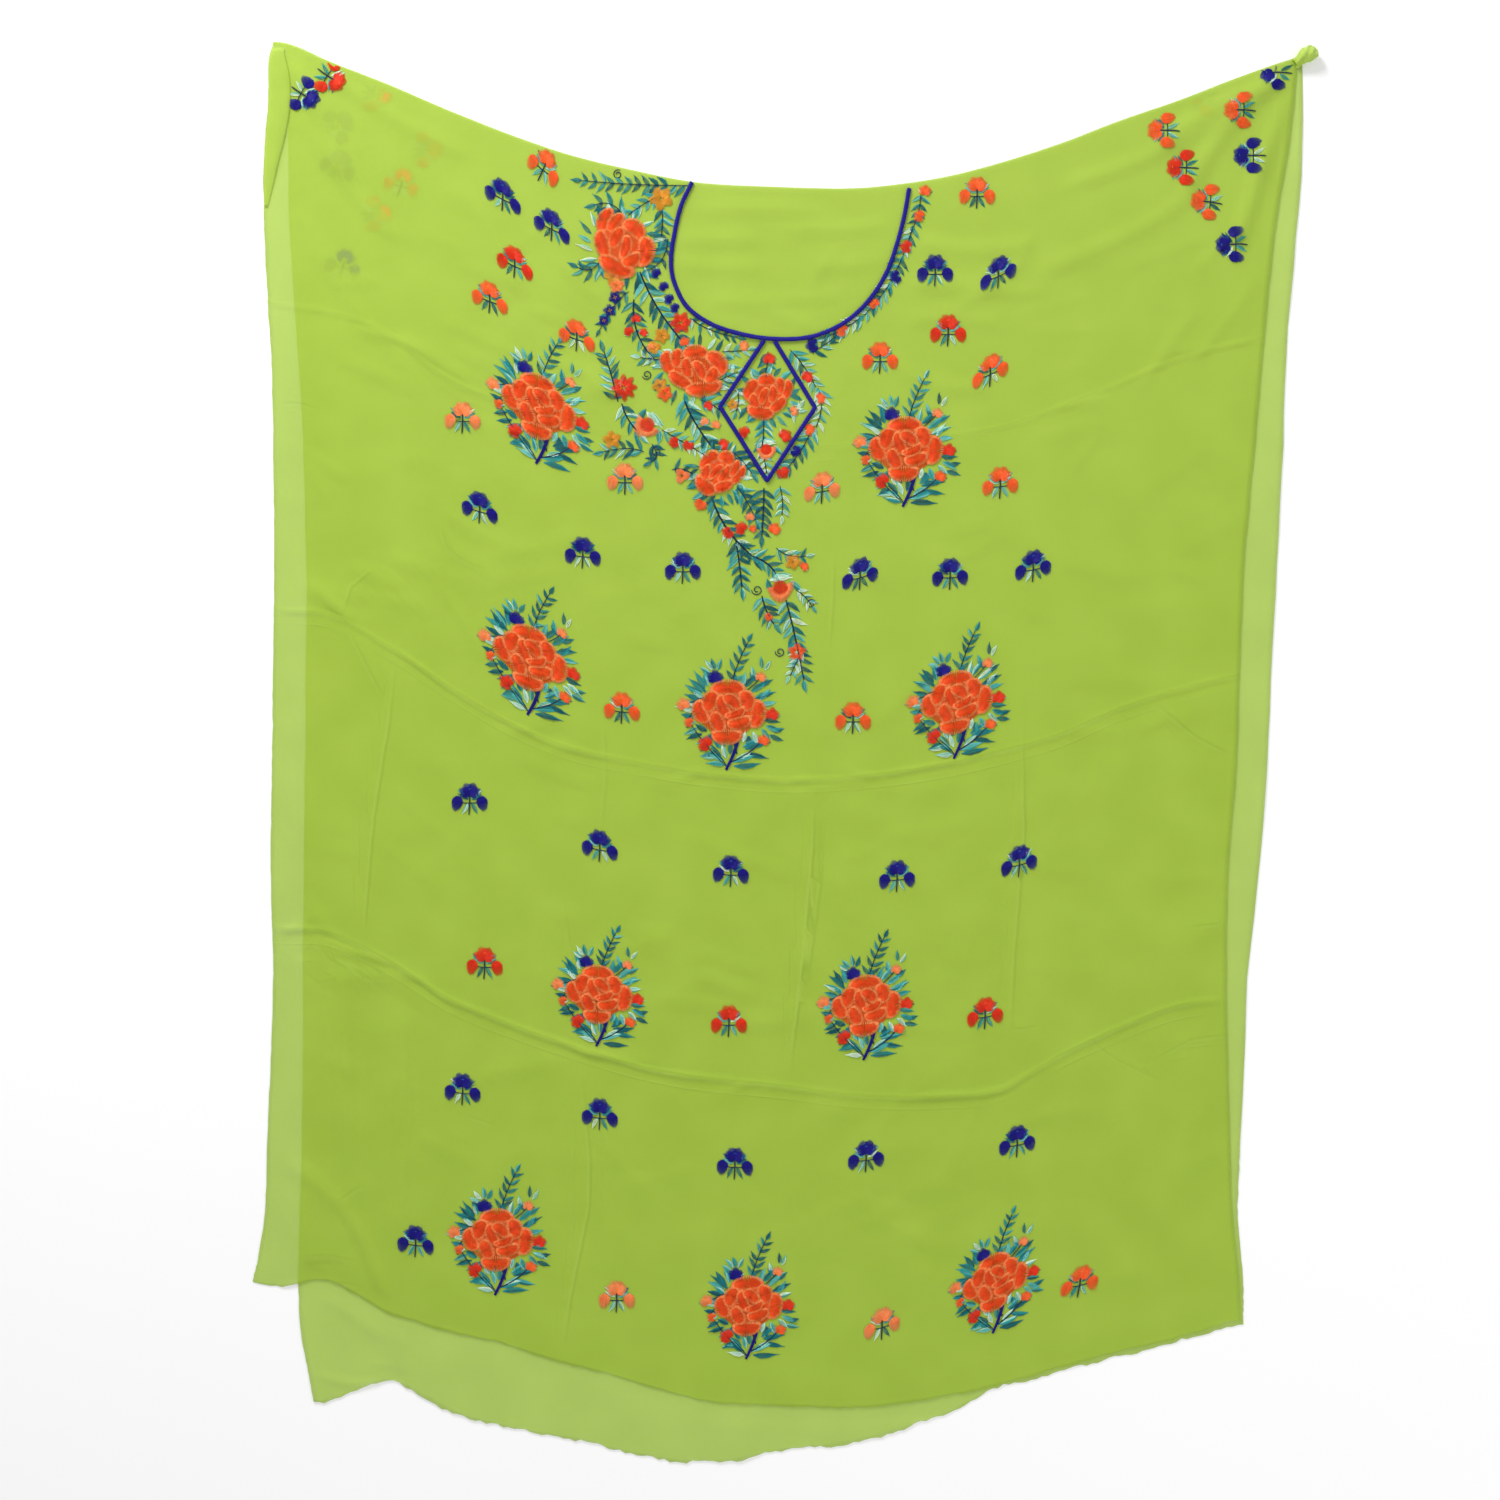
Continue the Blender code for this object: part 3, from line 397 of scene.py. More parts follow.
# The neck spray, in photograph pixels: leafy branches, buds, small flowers and curls
Branch = namedtuple("Branch", "x1 y1 x2 y2 x3 y3 leaf spacing shade spread stem")
NECK_BRANCHES = tuple(
    Branch(*row)
    for row in (
        (688, 186, 635, 187, 582, 181, 13, 6.0, 0.22, 0.15, 1.2),
        (660, 196, 640, 206, 628, 216, 12, 6.5, 0.70, 0.25, 1.2),
        (662, 208, 664, 222, 661, 240, 13, 6.0, 0.36, 0.25, 1.1),
        (622, 214, 612, 200, 596, 205, 14, 6.5, 0.30, 0.30, 1.2),
        (668, 238, 668, 262, 650, 270, 12, 6.0, 0.20, 0.20, 1.3),
        (600, 262, 592, 276, 578, 268, 13, 6.0, 0.20, 0.25, 1.2),
        (640, 272, 655, 312, 688, 348, 16, 6.0, 0.34, 0.35, 1.7),
        (629, 292, 616, 300, 600, 330, 9, 7.0, 0.10, 0.10, 1.2),
        (634, 300, 630, 335, 655, 360, 13, 6.5, 0.22, 0.20, 1.5),
        (690, 318, 706, 332, 738, 338, 10, 6.0, 0.30, 0.25, 1.1),
        (722, 352, 736, 352, 748, 350, 11, 6.0, 0.60, 0.30, 1.1),
        (618, 402, 612, 376, 604, 352, 14, 5.5, 0.45, 0.30, 1.4),
        (622, 404, 626, 420, 640, 434, 15, 6.0, 0.66, 0.30, 1.5),
        (664, 360, 652, 360, 640, 358, 12, 6.0, 0.74, 0.25, 1.1),
        (644, 452, 628, 446, 604, 452, 13, 5.0, 0.30, 0.25, 1.2),
        (652, 444, 662, 458, 652, 462, 12, 5.5, 0.20, 0.20, 1.2),
        (684, 398, 690, 420, 716, 452, 16, 5.5, 0.32, 0.35, 1.8),
        (662, 430, 690, 446, 712, 460, 11, 6.0, 0.72, 0.30, 1.2),
        (700, 400, 716, 406, 722, 412, 12, 5.5, 0.45, 0.30, 1.1),
        (712, 384, 726, 378, 738, 372, 12, 5.5, 0.62, 0.30, 1.1),
        (732, 452, 742, 458, 752, 474, 13, 5.5, 0.28, 0.30, 1.3),
        (672, 470, 682, 466, 696, 476, 10, 6.0, 0.14, 0.15, 1.1),
        (712, 498, 722, 530, 752, 556, 14, 5.5, 0.50, 0.40, 2.0),
        (764, 488, 764, 510, 762, 536, 14, 5.0, 0.26, 0.25, 1.4),
        (780, 486, 784, 500, 782, 516, 11, 5.5, 0.80, 0.15, 1.1),
        (736, 486, 748, 500, 756, 520, 14, 5.5, 0.34, 0.30, 1.3),
        (736, 540, 740, 564, 742, 588, 15, 5.5, 0.30, 0.25, 1.5),
        (752, 556, 770, 562, 776, 574, 13, 5.5, 0.40, 0.35, 1.7),
        (776, 548, 790, 560, 806, 556, 11, 5.5, 0.64, 0.30, 1.2),
        (762, 596, 766, 614, 774, 624, 14, 5.5, 0.50, 0.35, 1.5),
        (786, 600, 794, 628, 804, 680, 15, 5.5, 0.42, 0.40, 1.6),
        (796, 590, 806, 596, 812, 606, 10, 5.0, 0.60, 0.30, 1.1),
        (802, 650, 796, 664, 790, 676, 10, 5.0, 0.86, 0.12, 1.0),
        # Inside the diamond
        (768, 352, 768, 368, 764, 380, 12, 5.0, 0.20, 0.20, 1.2),
        (738, 390, 740, 404, 736, 412, 10, 5.5, 0.78, 0.20, 1.0),
        (764, 418, 764, 436, 762, 450, 13, 5.0, 0.30, 0.30, 1.3),
        (790, 410, 796, 416, 800, 408, 11, 5.0, 0.84, 0.14, 1.0),
        (762, 440, 764, 458, 767, 474, 10, 5.0, 0.86, 0.12, 1.1),
        # Beyond the diamond, at its right
        (790, 350, 806, 366, 816, 388, 13, 5.5, 0.72, 0.28, 1.2),
        (818, 388, 826, 404, 816, 428, 13, 5.5, 0.76, 0.24, 1.2),
        (812, 428, 806, 448, 786, 470, 14, 5.5, 0.42, 0.40, 1.3),
        (812, 352, 826, 346, 838, 334, 12, 5.5, 0.28, 0.25, 1.2),
        # The garland at the neckline's right side
        (921, 194, 920, 212, 914, 226, 10, 5.0, 0.16, 0.20, 1.2),
        (913, 226, 909, 242, 903, 256, 11, 5.0, 0.60, 0.25, 1.2),
        (902, 258, 897, 270, 891, 282, 11, 5.0, 0.40, 0.30, 1.2),
        (890, 284, 878, 302, 864, 316, 12, 5.0, 0.50, 0.35, 1.2),
        (862, 317, 846, 330, 826, 338, 12, 5.0, 0.62, 0.30, 1.2),
    )
)
NECK_BUDS = tuple(
    Bud(*row)
    for row in (
        (655, 273, 140, 1.0, "navy"), (663, 286, 130, 0.95, "navy"), (668, 299, 150, 1.0, "navy"),
        (674, 308, 160, 0.95, "navy"), (636, 318, 95, 0.95, "red"), (628, 331, 140, 0.95, "red"),
        (644, 332, 60, 0.85, "red"), (651, 346, 100, 0.8, "peach"), (673, 443, 190, 1.1, "red"),
        (688, 447, 250, 1.1, "red"), (709, 405, 60, 1.0, "red"), (725, 444, 30, 1.1, "red"),
        (704, 421, 110, 0.9, "peach"), (716, 424, 80, 0.9, "peach"), (745, 346, 20, 1.0, "peach"),
        (700, 506, 240, 1.2, "orange"), (727, 534, 220, 1.2, "red"), (740, 528, 150, 1.25, "red"),
        (775, 528, 60, 1.2, "orange"), (750, 516, 90, 0.9, "peach"), (753, 528, 60, 0.8, "orange"),
        (769, 358, 90, 1.2, "red"), (743, 432, 150, 1.15, "red"), (786, 435, 40, 1.3, "red"),
        (795, 411, 20, 0.95, "peach"), (808, 376, 60, 1.2, "red"),
        (822, 398, 20, 1.1, "orange"), (811, 430, 0, 1.15, "orange"), (797, 452, -30, 1.1, "navy"),
        (784, 474, -60, 1.25, "red"), (925, 190, 80, 1.15, "orange"), (918, 216, 160, 1.15, "orange"),
        (905, 247, 170, 1.25, "red"), (894, 278, 200, 1.3, "navy"), (873, 303, 130, 1.1, "orange"),
        (840, 330, 160, 1.3, "orange"), (811, 346, 190, 1.35, "navy"), (684, 341, 100, 1.0, "orange"),
        (805, 566, 40, 0.9, "orange"), (768, 618, 230, 0.85, "orange"),
    )
)
Flower = namedtuple("Flower", "x y radius petals colour")
NECK_FLOWERS = tuple(
    Flower(*row)
    for row in (
        (661, 199, 12, 5, "gold"), (615, 298, 6.5, 5, "navy"), (610, 311, 6.5, 5, "navy"),
        (604, 321, 5.5, 4, "navy"), (613, 276, 9, 5, "gold"), (662, 336, 8, 5, "gold"), (660, 386, 8, 5, "gold"),
        (612, 440, 9, 5, "gold"), (733, 405, 6, 5, "gold"), (797, 652, 9, 5, "orange"), (793, 562, 8, 5, "gold"),
        (624, 388, 13, 8, "red"), (681, 323, 11, 6, "red"), (617, 286, 8, 5, "peach"), (665, 394, 8, 5, "orange"),
        (682, 476, 8, 3, "peach"), (654, 348, 7, 4, "gold"),
    )
)
Cup = namedtuple("Cup", "x y turn size")
CUPS = (Cup(647, 425, -52, 1.12), Cup(780, 588, 0, 1.12), Cup(766, 450, -8, 0.82))
Curl = namedtuple("Curl", "x y radius turn")
CURLS = (
    Curl(647, 375, 5.0, 200),
    Curl(657, 452, 6.0, 20),
    Curl(757, 590, 5.5, 180),
    Curl(811, 604, 5.0, 0),
    Curl(780, 652, 5.0, 170),
    Curl(618, 175, 5.0, 60),
)

# The petals of a rose, in millimetres from its middle. Length lies along the turn, and bend is how far the
# petal's middle arches aside. A later petal lies on the earlier ones
Petal = namedtuple("Petal", "x y turn length width bend")
ROSE_PETALS = tuple(
    Petal(*row)
    for row in (
        (-1, 23.5, 0, 33, 14, 2.5), (28, -2, 82, 27, 15, -2.5), (-28, 0, 110, 23, 14, 2.5),
        (-2, -24, 0, 29, 14, -2.5), (-18.5, 10.5, 66, 21, 15, 1.5), (17.5, 11.5, 106, 20, 15, -1.5),
        (-11.5, -10, 116, 20, 13.5, 1.0), (10.5, -10.5, 14, 23, 12, -1.5), (-5.5, 5, 112, 24, 11, 2.5),
        (6.5, -1.5, 22, 21, 9, -3.0), (3, 10.5, 144, 19, 12, -1.5),
    )
)
SIDE_ROSE_SIZE = (66.0, 51.0)
SIDE_ROSE_PETALS = tuple(
    Petal(*row)
    for row in (
        (-26, 8, 108, 21, 12, 2.0), (-17, 12, 84, 18, 11, 1.5), (1, 17.5, 0, 23, 13, 2.0),
        (22, 8, 128, 25, 15, -2.5), (9, -17, 8, 34, 14, -2.5), (-14, -9, 148, 24, 12, 1.5),
        (-7, 2.5, 100, 19, 11, 1.5), (17, -5, 60, 17, 12, -1.5), (5, 0.5, 118, 20, 10, -1.5),
    )
)

# How far apart laid threads are, in millimetres, in fills and in a rose
THREAD_PITCH = 1.0
ROSE_PITCH = 1.15
PADDING_SHARE = 0.80
LEAF_RING_STEP = 17.0

# Where each blossom's colour lies along its yarn's shades
BLOSSOM_SHADES = {"red": 0.16, "orange": 0.58, "peach": 0.88, "gold": 0.5, "navy": 0.4}


class KurtiClothSettings(bpy.types.PropertyGroup):
    """Sizes and colours of the cloth."""

    grid_step: FloatProperty(
        name="Grid step", description="Distance between the cloth's grid lines", default=0.0064, unit="LENGTH"
    )
    wall: FloatProperty(name="Wall", description="Thickness of the cloth", default=0.0004, unit="LENGTH")
    cover: FloatProperty(
        name="Cover",
        description="How much of what lies behind one face of the cloth is covered",
        default=0.51,
        min=0.0,
        max=1.0,
        subtype="FACTOR",
    )
    colour: FloatVectorProperty(
        name="Lime", description="Colour of the cloth", default=(0.475, 0.668, 0.064), size=3, subtype="COLOR"
    )
    deep_colour: FloatVectorProperty(
        name="Deep lime",
        description="Colour of the cloth where it is denser",
        default=(0.425, 0.612, 0.047),
        size=3,
        subtype="COLOR",
    )
    # Painted shade: the darker line beside each crease
    crease_shade_colour: FloatVectorProperty(
        name="Crease lime",
        description="Colour of the cloth in a crease",
        default=(0.270, 0.440, 0.030),
        size=3,
        subtype="COLOR",
    )
    # Paler colour where the cloth is turned over and in its weave, and also the painted light towards the cloth's
    # top and the painted highlight beside each crease
    pale_and_highlight_colour: FloatVectorProperty(
        name="Pale lime",
        description="Colour of the cloth where it is turned over",
        default=(0.585, 0.755, 0.155),
        size=3,
        subtype="COLOR",
    )


class KurtiThreadSettings(bpy.types.PropertyGroup):
    """Sizes of the embroidery thread and the cords."""

    thread_width: FloatProperty(
        name="Thread width", description="Width of one laid thread", default=0.00105, unit="LENGTH"
    )
    thread_sides: IntProperty(name="Thread sides", description="Sides of a thread's section", default=3, min=3)
    cord_width: FloatProperty(name="Cord width", description="Width of the cords", default=0.0046, unit="LENGTH")
    cord_twist: FloatProperty(
        name="Cord twist", description="Length of one whole turn of the plies", default=0.0095, unit="LENGTH"
    )


class KurtiStageSettings(bpy.types.PropertyGroup):
    """Strengths of the studio light."""

    key: FloatProperty(name="Key light", description="Power of the key light in watts", default=74.0)
    fill: FloatProperty(name="Fill light", description="Power of the fill light in watts", default=26.0)
    surround: FloatProperty(name="Surround", description="Strength of the light from all round", default=0.55)


def from_photo(x, y):
    """A photograph pixel's place on the surface, in metres."""
    return (x - PHOTO_ORIGIN[0]) * MM, (PHOTO_ORIGIN[1] - y) * MM


def smoothstep(share):
    share = np.clip(share, 0.0, 1.0)
    return share * share * (3.0 - 2.0 * share)


def along_table(places, values, at):
    """A smooth curve through a table's values, with the table's own slopes between its rows."""
    places, values, at = (np.asarray(a, float) for a in (places, values, at))
    if places[0] > places[-1]:
        places, values = places[::-1], values[::-1]
    slopes = np.empty_like(values)
    slopes[1:-1] = (values[2:] - values[:-2]) / (places[2:] - places[:-2])
    slopes[0] = (values[1] - values[0]) / (places[1] - places[0])
    slopes[-1] = (values[-1] - values[-2]) / (places[-1] - places[-2])
    at = np.clip(at, places[0], places[-1])
    i = np.clip(np.searchsorted(places, at, side="right") - 1, 0, len(places) - 2)
    span = places[i + 1] - places[i]
    t = (at - places[i]) / span
    first = (1 + 2 * t) * (1 - t) ** 2 * values[i] + t * (1 - t) ** 2 * span * slopes[i]
    return first + t * t * (3 - 2 * t) * values[i + 1] - t * t * (1 - t) * span * slopes[i + 1]


def station(column, across):
    return along_table([s.across for s in STATIONS], [getattr(s, column) for s in STATIONS], across)


def section(column, down):
    return along_table([s.down for s in SECTIONS], [getattr(s, column) for s in SECTIONS], down)


def curve_points(fold, steps=14):
    """Points along a fold's quadratic curve, in metres."""
    t = np.linspace(0.0, 1.0, steps + 1)[:, None]
    corners = [np.array(from_photo(*fold[k : k + 2])) for k in (0, 2, 4)]
    return (1 - t) ** 2 * corners[0] + 2 * t * (1 - t) * corners[1] + t * t * corners[2]


def folds_relief(folds, x, y):
    """How far the folds lift the cloth at each point. A fold fades towards both its ends."""
    total = np.zeros_like(x)
    for fold in folds:
        path = curve_points(fold)
        reach = fold.half_width * MM
        low, high = path.min(axis=0) - reach, path.max(axis=0) + reach
        near = (x > low[0]) & (x < high[0]) & (y > low[1]) & (y < high[1])
        if not near.any():
            continue
        px, py = x[near], y[near]
        best = np.full(px.shape, 1e9)
        where = np.zeros(px.shape)
        for k in range(len(path) - 1):
            ax, ay = path[k]
            dx, dy = path[k + 1] - path[k]
            t = np.clip(((px - ax) * dx + (py - ay) * dy) / (dx * dx + dy * dy), 0.0, 1.0)
            away = np.hypot(px - ax - t * dx, py - ay - t * dy)
            closer = away < best
            best = np.where(closer, away, best)
            where = np.where(closer, (k + t) / (len(path) - 1), where)
        fade = smoothstep(where / 0.18) * smoothstep((1.0 - where) / 0.18)
        total[near] += fold.relief * MM * fade * (1.0 - smoothstep(best / reach))
    return total


@functools.lru_cache(maxsize=None)
def unevenness_grid(seed, count):
    return np.random.default_rng(seed).uniform(-1.0, 1.0, (count, count))


def unevenness(x, y, pitch, seed, count=64):
    """Smooth, seeded unevenness from -1 to 1, with hollows and swells about pitch apart."""
    grid = unevenness_grid(seed, count)
    gx, gy = (x + 2.0) / pitch, (y + 2.0) / pitch
    ix, iy = np.floor(gx).astype(int), np.floor(gy).astype(int)
    tx, ty = smoothstep(gx - ix), smoothstep(gy - iy)
    a, b = grid[ix % count, iy % count], grid[(ix + 1) % count, iy % count]
    c, d = grid[ix % count, (iy + 1) % count], grid[(ix + 1) % count, (iy + 1) % count]
    return (a * (1 - tx) + b * tx) * (1 - ty) + (c * (1 - tx) + d * tx) * ty


@functools.lru_cache(maxsize=None)
def drag_folds():
    """Seeded short soft folds that run the way the held corners pull the cloth."""
    rng = np.random.default_rng(17)
    folds = []
    for _ in range(DRAG_COUNT):
        x, y = rng.uniform(290, 1230), rng.uniform(230, 1320)
        pull = 0.55 * (x - 760) / 480
        lean = math.atan(pull) + rng.normal(0, 0.35)
        half = rng.uniform(18, 60)
        dx, dy = half * math.cos(lean), -half * math.sin(lean)
        sag = rng.uniform(-8, 8)
        relief, half_width = rng.uniform(0.5, 1.5), rng.uniform(5, 9)
        folds.append(Fold(x - dx, y - dy, x, y + sag, x + dx, y + dy, relief, half_width))
    return tuple(folds)


def creases_relief(x, y):
    """The storage creases across the front, which waver and come and go a little."""
    total = np.zeros_like(x)
    share = (x + HALF_WIDTH) / (2 * HALF_WIDTH)
    for number, crease in enumerate(ACROSS_CREASES):
        relief = along_table((0.0, 0.5, 1.0), (crease.left, crease.middle, crease.right), share)
        relief = relief * (0.85 + 0.60 * unevenness(x, y, 0.05, 11 + number))
        waver = 0.0012 * unevenness(x, 0 * y, 0.02, 31 + number)
        away = np.abs(y - station(crease.station_column, x) - waver)
        total += relief * MM * (1.0 - smoothstep(away / (crease.half_width * MM)))
    return total


def near_line(points, x, y):
    """Signed distance in millimetres to a line through photograph pixels, and the nearest place's share of it."""
    path = np.array([from_photo(*p) for p in points])
    best, signed, where = (np.full(x.shape, value) for value in (1e9, 1e9, 0.0))
    for k in range(len(path) - 1):
        ax, ay = path[k]
        dx, dy = path[k + 1] - path[k]
        t = np.clip(((x - ax) * dx + (y - ay) * dy) / (dx * dx + dy * dy), 0.0, 1.0)
        ox, oy = x - ax - t * dx, y - ay - t * dy
        away = np.hypot(ox, oy) / MM
        closer = away < best
        best = np.where(closer, away, best)
        signed = np.where(closer, away * np.sign(dx * oy - dy * ox), signed)
        where = np.where(closer, (k + t) / (len(path) - 1), where)
    return signed, where


def crease_marks(x, y):
    """Signed distances to the nearest crease across and down, and how strongly each shows at each point. They
    place each crease's bump and the painted shade and painted highlight beside it.
    """
    marks = {}
    across, across_near = np.full(x.shape, CREASE_REACH), np.zeros(x.shape)
    for number, (crease, strength) in enumerate(zip(ACROSS_CREASES, ACROSS_STRENGTHS)):
        away = (y - station(crease.station_column, x)) / MM
        close = np.abs(away) < CREASE_REACH
        across = np.where(close, away, across)
        shown = np.clip(0.65 + 0.75 * unevenness(x, 0 * y, 0.045, 71 + number), 0.12, 1.0)
        across_near = np.where(close, strength * shown, across_near)
    marks["crease_across"], marks["across_strength"] = across, across_near
    down, down_near = np.full(x.shape, CREASE_REACH), np.zeros(x.shape)
    for crease in DOWN_CREASES:
        away, where = near_line(crease.points, x, y)
        close = np.abs(away) < np.minimum(CREASE_REACH, np.abs(down) + 1e-9)
        down = np.where(close, away, down)
        fade = smoothstep(where / 0.3) * smoothstep((1.0 - where) / 0.3)
        down_near = np.where(close, crease.strength * fade, down_near)
    marks["crease_down"], marks["down_strength"] = down, down_near
    return marks


def edge_calm(x, y):
    """0 at the front's side and hem edges, which lie down on what is under them, and 1 well inside."""
    inside = np.minimum(x - section("front_left", y), section("front_right", y) - x)
    inside = np.minimum(inside, y - station("front_hem", x))
    return 0.12 + 0.88 * smoothstep(inside / 0.022)


def front_height(x, y):
    """Height of the middle of the front's wall."""
    x, y = np.asarray(x, float), np.asarray(y, float)
    past = section("back_left", y) - x
    rest = FRONT_BASE * (1.0 - smoothstep((past - STEP_START) / STEP_WIDTH))
    swell = 0.9 * unevenness(x, y, 0.085, 3) + 0.45 * unevenness(x, y * 1.6, 0.034, 5)
    pucker = 0.28 * unevenness(x, y, 0.013, 7)
    relief = LOFT + (swell + pucker) * 0.6 * MM + folds_relief(FRONT_FOLDS, x, y) + creases_relief(x, y)
    relief = relief + folds_relief(drag_folds(), x, y)
    return rest + np.maximum(relief, 0.0002) * edge_calm(x, y) + 0.0002


def back_height(x, y):
    """Height of the middle of the back's wall: flat under the front, and uneven past the front's hem."""
    x, y = np.asarray(x, float), np.asarray(y, float)
    past_hem = station("front_hem", x) - y
    past_side = x - section("front_right", y)
    shown = smoothstep((past_hem - BACK_FOLD_START) / BACK_FOLD_FADE)
    shown = np.maximum(shown, smoothstep((past_side - 0.004) / 0.01))
    swell = 0.5 * (unevenness(x, y, 0.05, 13) + 1.0) + 0.2 * (unevenness(x, y, 0.018, 15) + 1.0)
    return 0.00025 + shown * (swell * 0.9 * MM + folds_relief(BACK_FOLDS, x, y))


def front_place(u, v):
    """Places on the front: u goes from its left edge to its right, v from the shoulder fold to its hem."""
    columns = ("fold", "high_crease", "middle_crease", "low_crease", "front_hem")
    k = np.minimum(3, (v * 4).astype(int))
    t = v * 4 - k
    x = (2 * u - 1) * HALF_WIDTH
    for _ in range(5):
        lines = np.stack([station(name, x) for name in columns])
        lines[0] -= FOLD_ROLL
        upper = np.take_along_axis(lines, k[None], 0)[0]
        lower = np.take_along_axis(lines, k[None] + 1, 0)[0]
        y = (1 - t) * upper + t * lower
        left, right = section("front_left", y), section("front_right", y)
        x = left + u * (right - left)
    return x, y


def back_place(u, v):
    """Places on the back: u goes from its left edge to its right, v from the shoulder fold to its hem."""
    x = (2 * u - 1) * HALF_WIDTH
    for _ in range(5):
        y = (1 - v) * (station("fold", x) - BACK_START) + v * station("back_hem", x)
        left, right = section("back_left", y), section("back_right", y)
        x = left + u * (right - left)
    return x, y


def marks_between(marks, steps):
    """Lines at every mark, and evenly between each two marks, no further apart than the step given there."""
    lines = [marks[0]]
    for low, high, step in zip(marks, marks[1:], steps):
        count = max(1, math.ceil((high - low) / step - 1e-6))
        lines += [low + (high - low) * k / count for k in range(1, count + 1)]
    return np.array(lines)


def frayed(u, amount, seed):
    """How far a cut edge stands in or out along its length."""
    rng = np.random.default_rng(seed)
    fine = rng.uniform(-1.0, 1.0, u.shape)
    broad = unevenness(u, 0 * u, 0.022, seed)
    return amount * (0.45 * fine + 0.75 * broad)


def sheet_object(name, x, y, z, u, v, material, wall, marks=None, under=True):
    """A cloth sheet through a grid of points, with its wall and a UV map in cloth metres."""
    rows, columns = x.shape
    index = np.arange(rows * columns).reshape(rows, columns)
    faces = np.stack([index[:-1, :-1], index[1:, :-1], index[1:, 1:], index[:-1, 1:]], axis=-1).reshape(-1, 4)
    mesh = bpy.data.meshes.new(name)
    mesh.from_pydata(np.stack([x, y, z], axis=-1).reshape(-1, 3), [], faces.tolist())
    layer = mesh.uv_layers.new(name="cloth")
    spots = np.stack([np.broadcast_to(u, x.shape), np.broadcast_to(v, x.shape)], axis=-1).reshape(-1, 2)
    layer.data.foreach_set("uv", spots[faces.ravel()].ravel().astype(np.float32))
    for label, values in (marks or {}).items():
        values = values.ravel().astype(np.float32)
        mesh.attributes.new(label, "FLOAT", "POINT").data.foreach_set("value", values)
    mesh.materials.append(material)
    if under:
        mesh.materials.append(georgette_under())
    mesh.shade_smooth()
    made = bpy.data.objects.new(name, mesh)
    bpy.context.scene.collection.objects.link(made)
    thick = made.modifiers.new("wall", "SOLIDIFY")
    thick.thickness = wall
    thick.offset = 0.0
    thick.material_offset = 1 if under else 0
    return made


class Value:
    """A shader value that Python's own operators work on."""

    def __init__(self, looks, socket):
        self.looks = looks
        self.socket = socket

    def math(self, operation, *others, first=None):
        values = [self if first is None else first, *others]
        if first is not None:
            values.append(self)
        return self.looks.node("ShaderNodeMath", {"operation": operation}, dict(enumerate(values)))

    def __add__(self, other):
        return self.math("ADD", other)

    def __sub__(self, other):
        return self.math("SUBTRACT", other)

    def __rsub__(self, other):
        return self.math("SUBTRACT", first=other)

    def __mul__(self, other):
        return self.math("MULTIPLY", other)

    def __truediv__(self, other):
        return self.math("DIVIDE", other)

    __radd__ = __add__
    __rmul__ = __mul__


class Looks:
    """The nodes of one material, round its Principled shader."""

    def __init__(self, name):
        self.material = bpy.data.materials.new(name)
        self.material.use_nodes = True
        self.tree = self.material.node_tree
        self.shader = self.tree.nodes["Principled BSDF"]

    def node(self, kind, settings, inputs, output=0):
        made = self.tree.nodes.new(kind)
        for key, value in settings.items():
            if key == "stops":
                ramp = made.color_ramp
                while len(ramp.elements) < len(value):
                    ramp.elements.new(0.5)
                for stop, (place, colour) in zip(ramp.elements, value):
                    stop.position = place
                    stop.color = (*colour, 1.0)
            else:
                setattr(made, key, value)
        for key, value in inputs.items():
            self.put(made.inputs[key], value)
        return Value(self, made.outputs[output])

    def put(self, socket, value):
        if isinstance(value, Value):
            self.tree.links.new(value.socket, socket)
        else:
            socket.default_value = value

    def shade(self, **values):
        for key, value in values.items():
            self.put(self.shader.inputs[key.replace("_", " ").title()], value)

    def place(self):
        return self.node("ShaderNodeTexCoord", {}, {}, output="Object")

    def cloth_place(self):
        return self.node("ShaderNodeUVMap", {"uv_map": "cloth"}, {})

    def parts(self, vector):
        split = self.tree.nodes.new("ShaderNodeSeparateXYZ")
        self.tree.links.new(vector.socket, split.inputs[0])
        return [Value(self, s) for s in split.outputs]

    def noise(self, vector, scale, detail=2.0, roughness=0.5):
        inputs = {"Vector": vector, "Scale": scale, "Detail": detail, "Roughness": roughness}
        return self.node("ShaderNodeTexNoise", {}, inputs, output="Fac")

    def attribute(self, name):
        return self.node("ShaderNodeAttribute", {"attribute_name": name}, {}, output="Fac")

    def mix(self, share, first, second):
        settings = {"data_type": "RGBA", "clamp_factor": True}
        first, second = (c if isinstance(c, Value) else (*c, 1.0) for c in (first, second))
        return self.node("ShaderNodeMix", settings, {0: share, 6: first, 7: second}, output=2)

    def bump(self, height, distance, strength=1.0):
        inputs = {"Height": height, "Distance": distance, "Strength": strength}
        return self.node("ShaderNodeBump", {}, inputs)


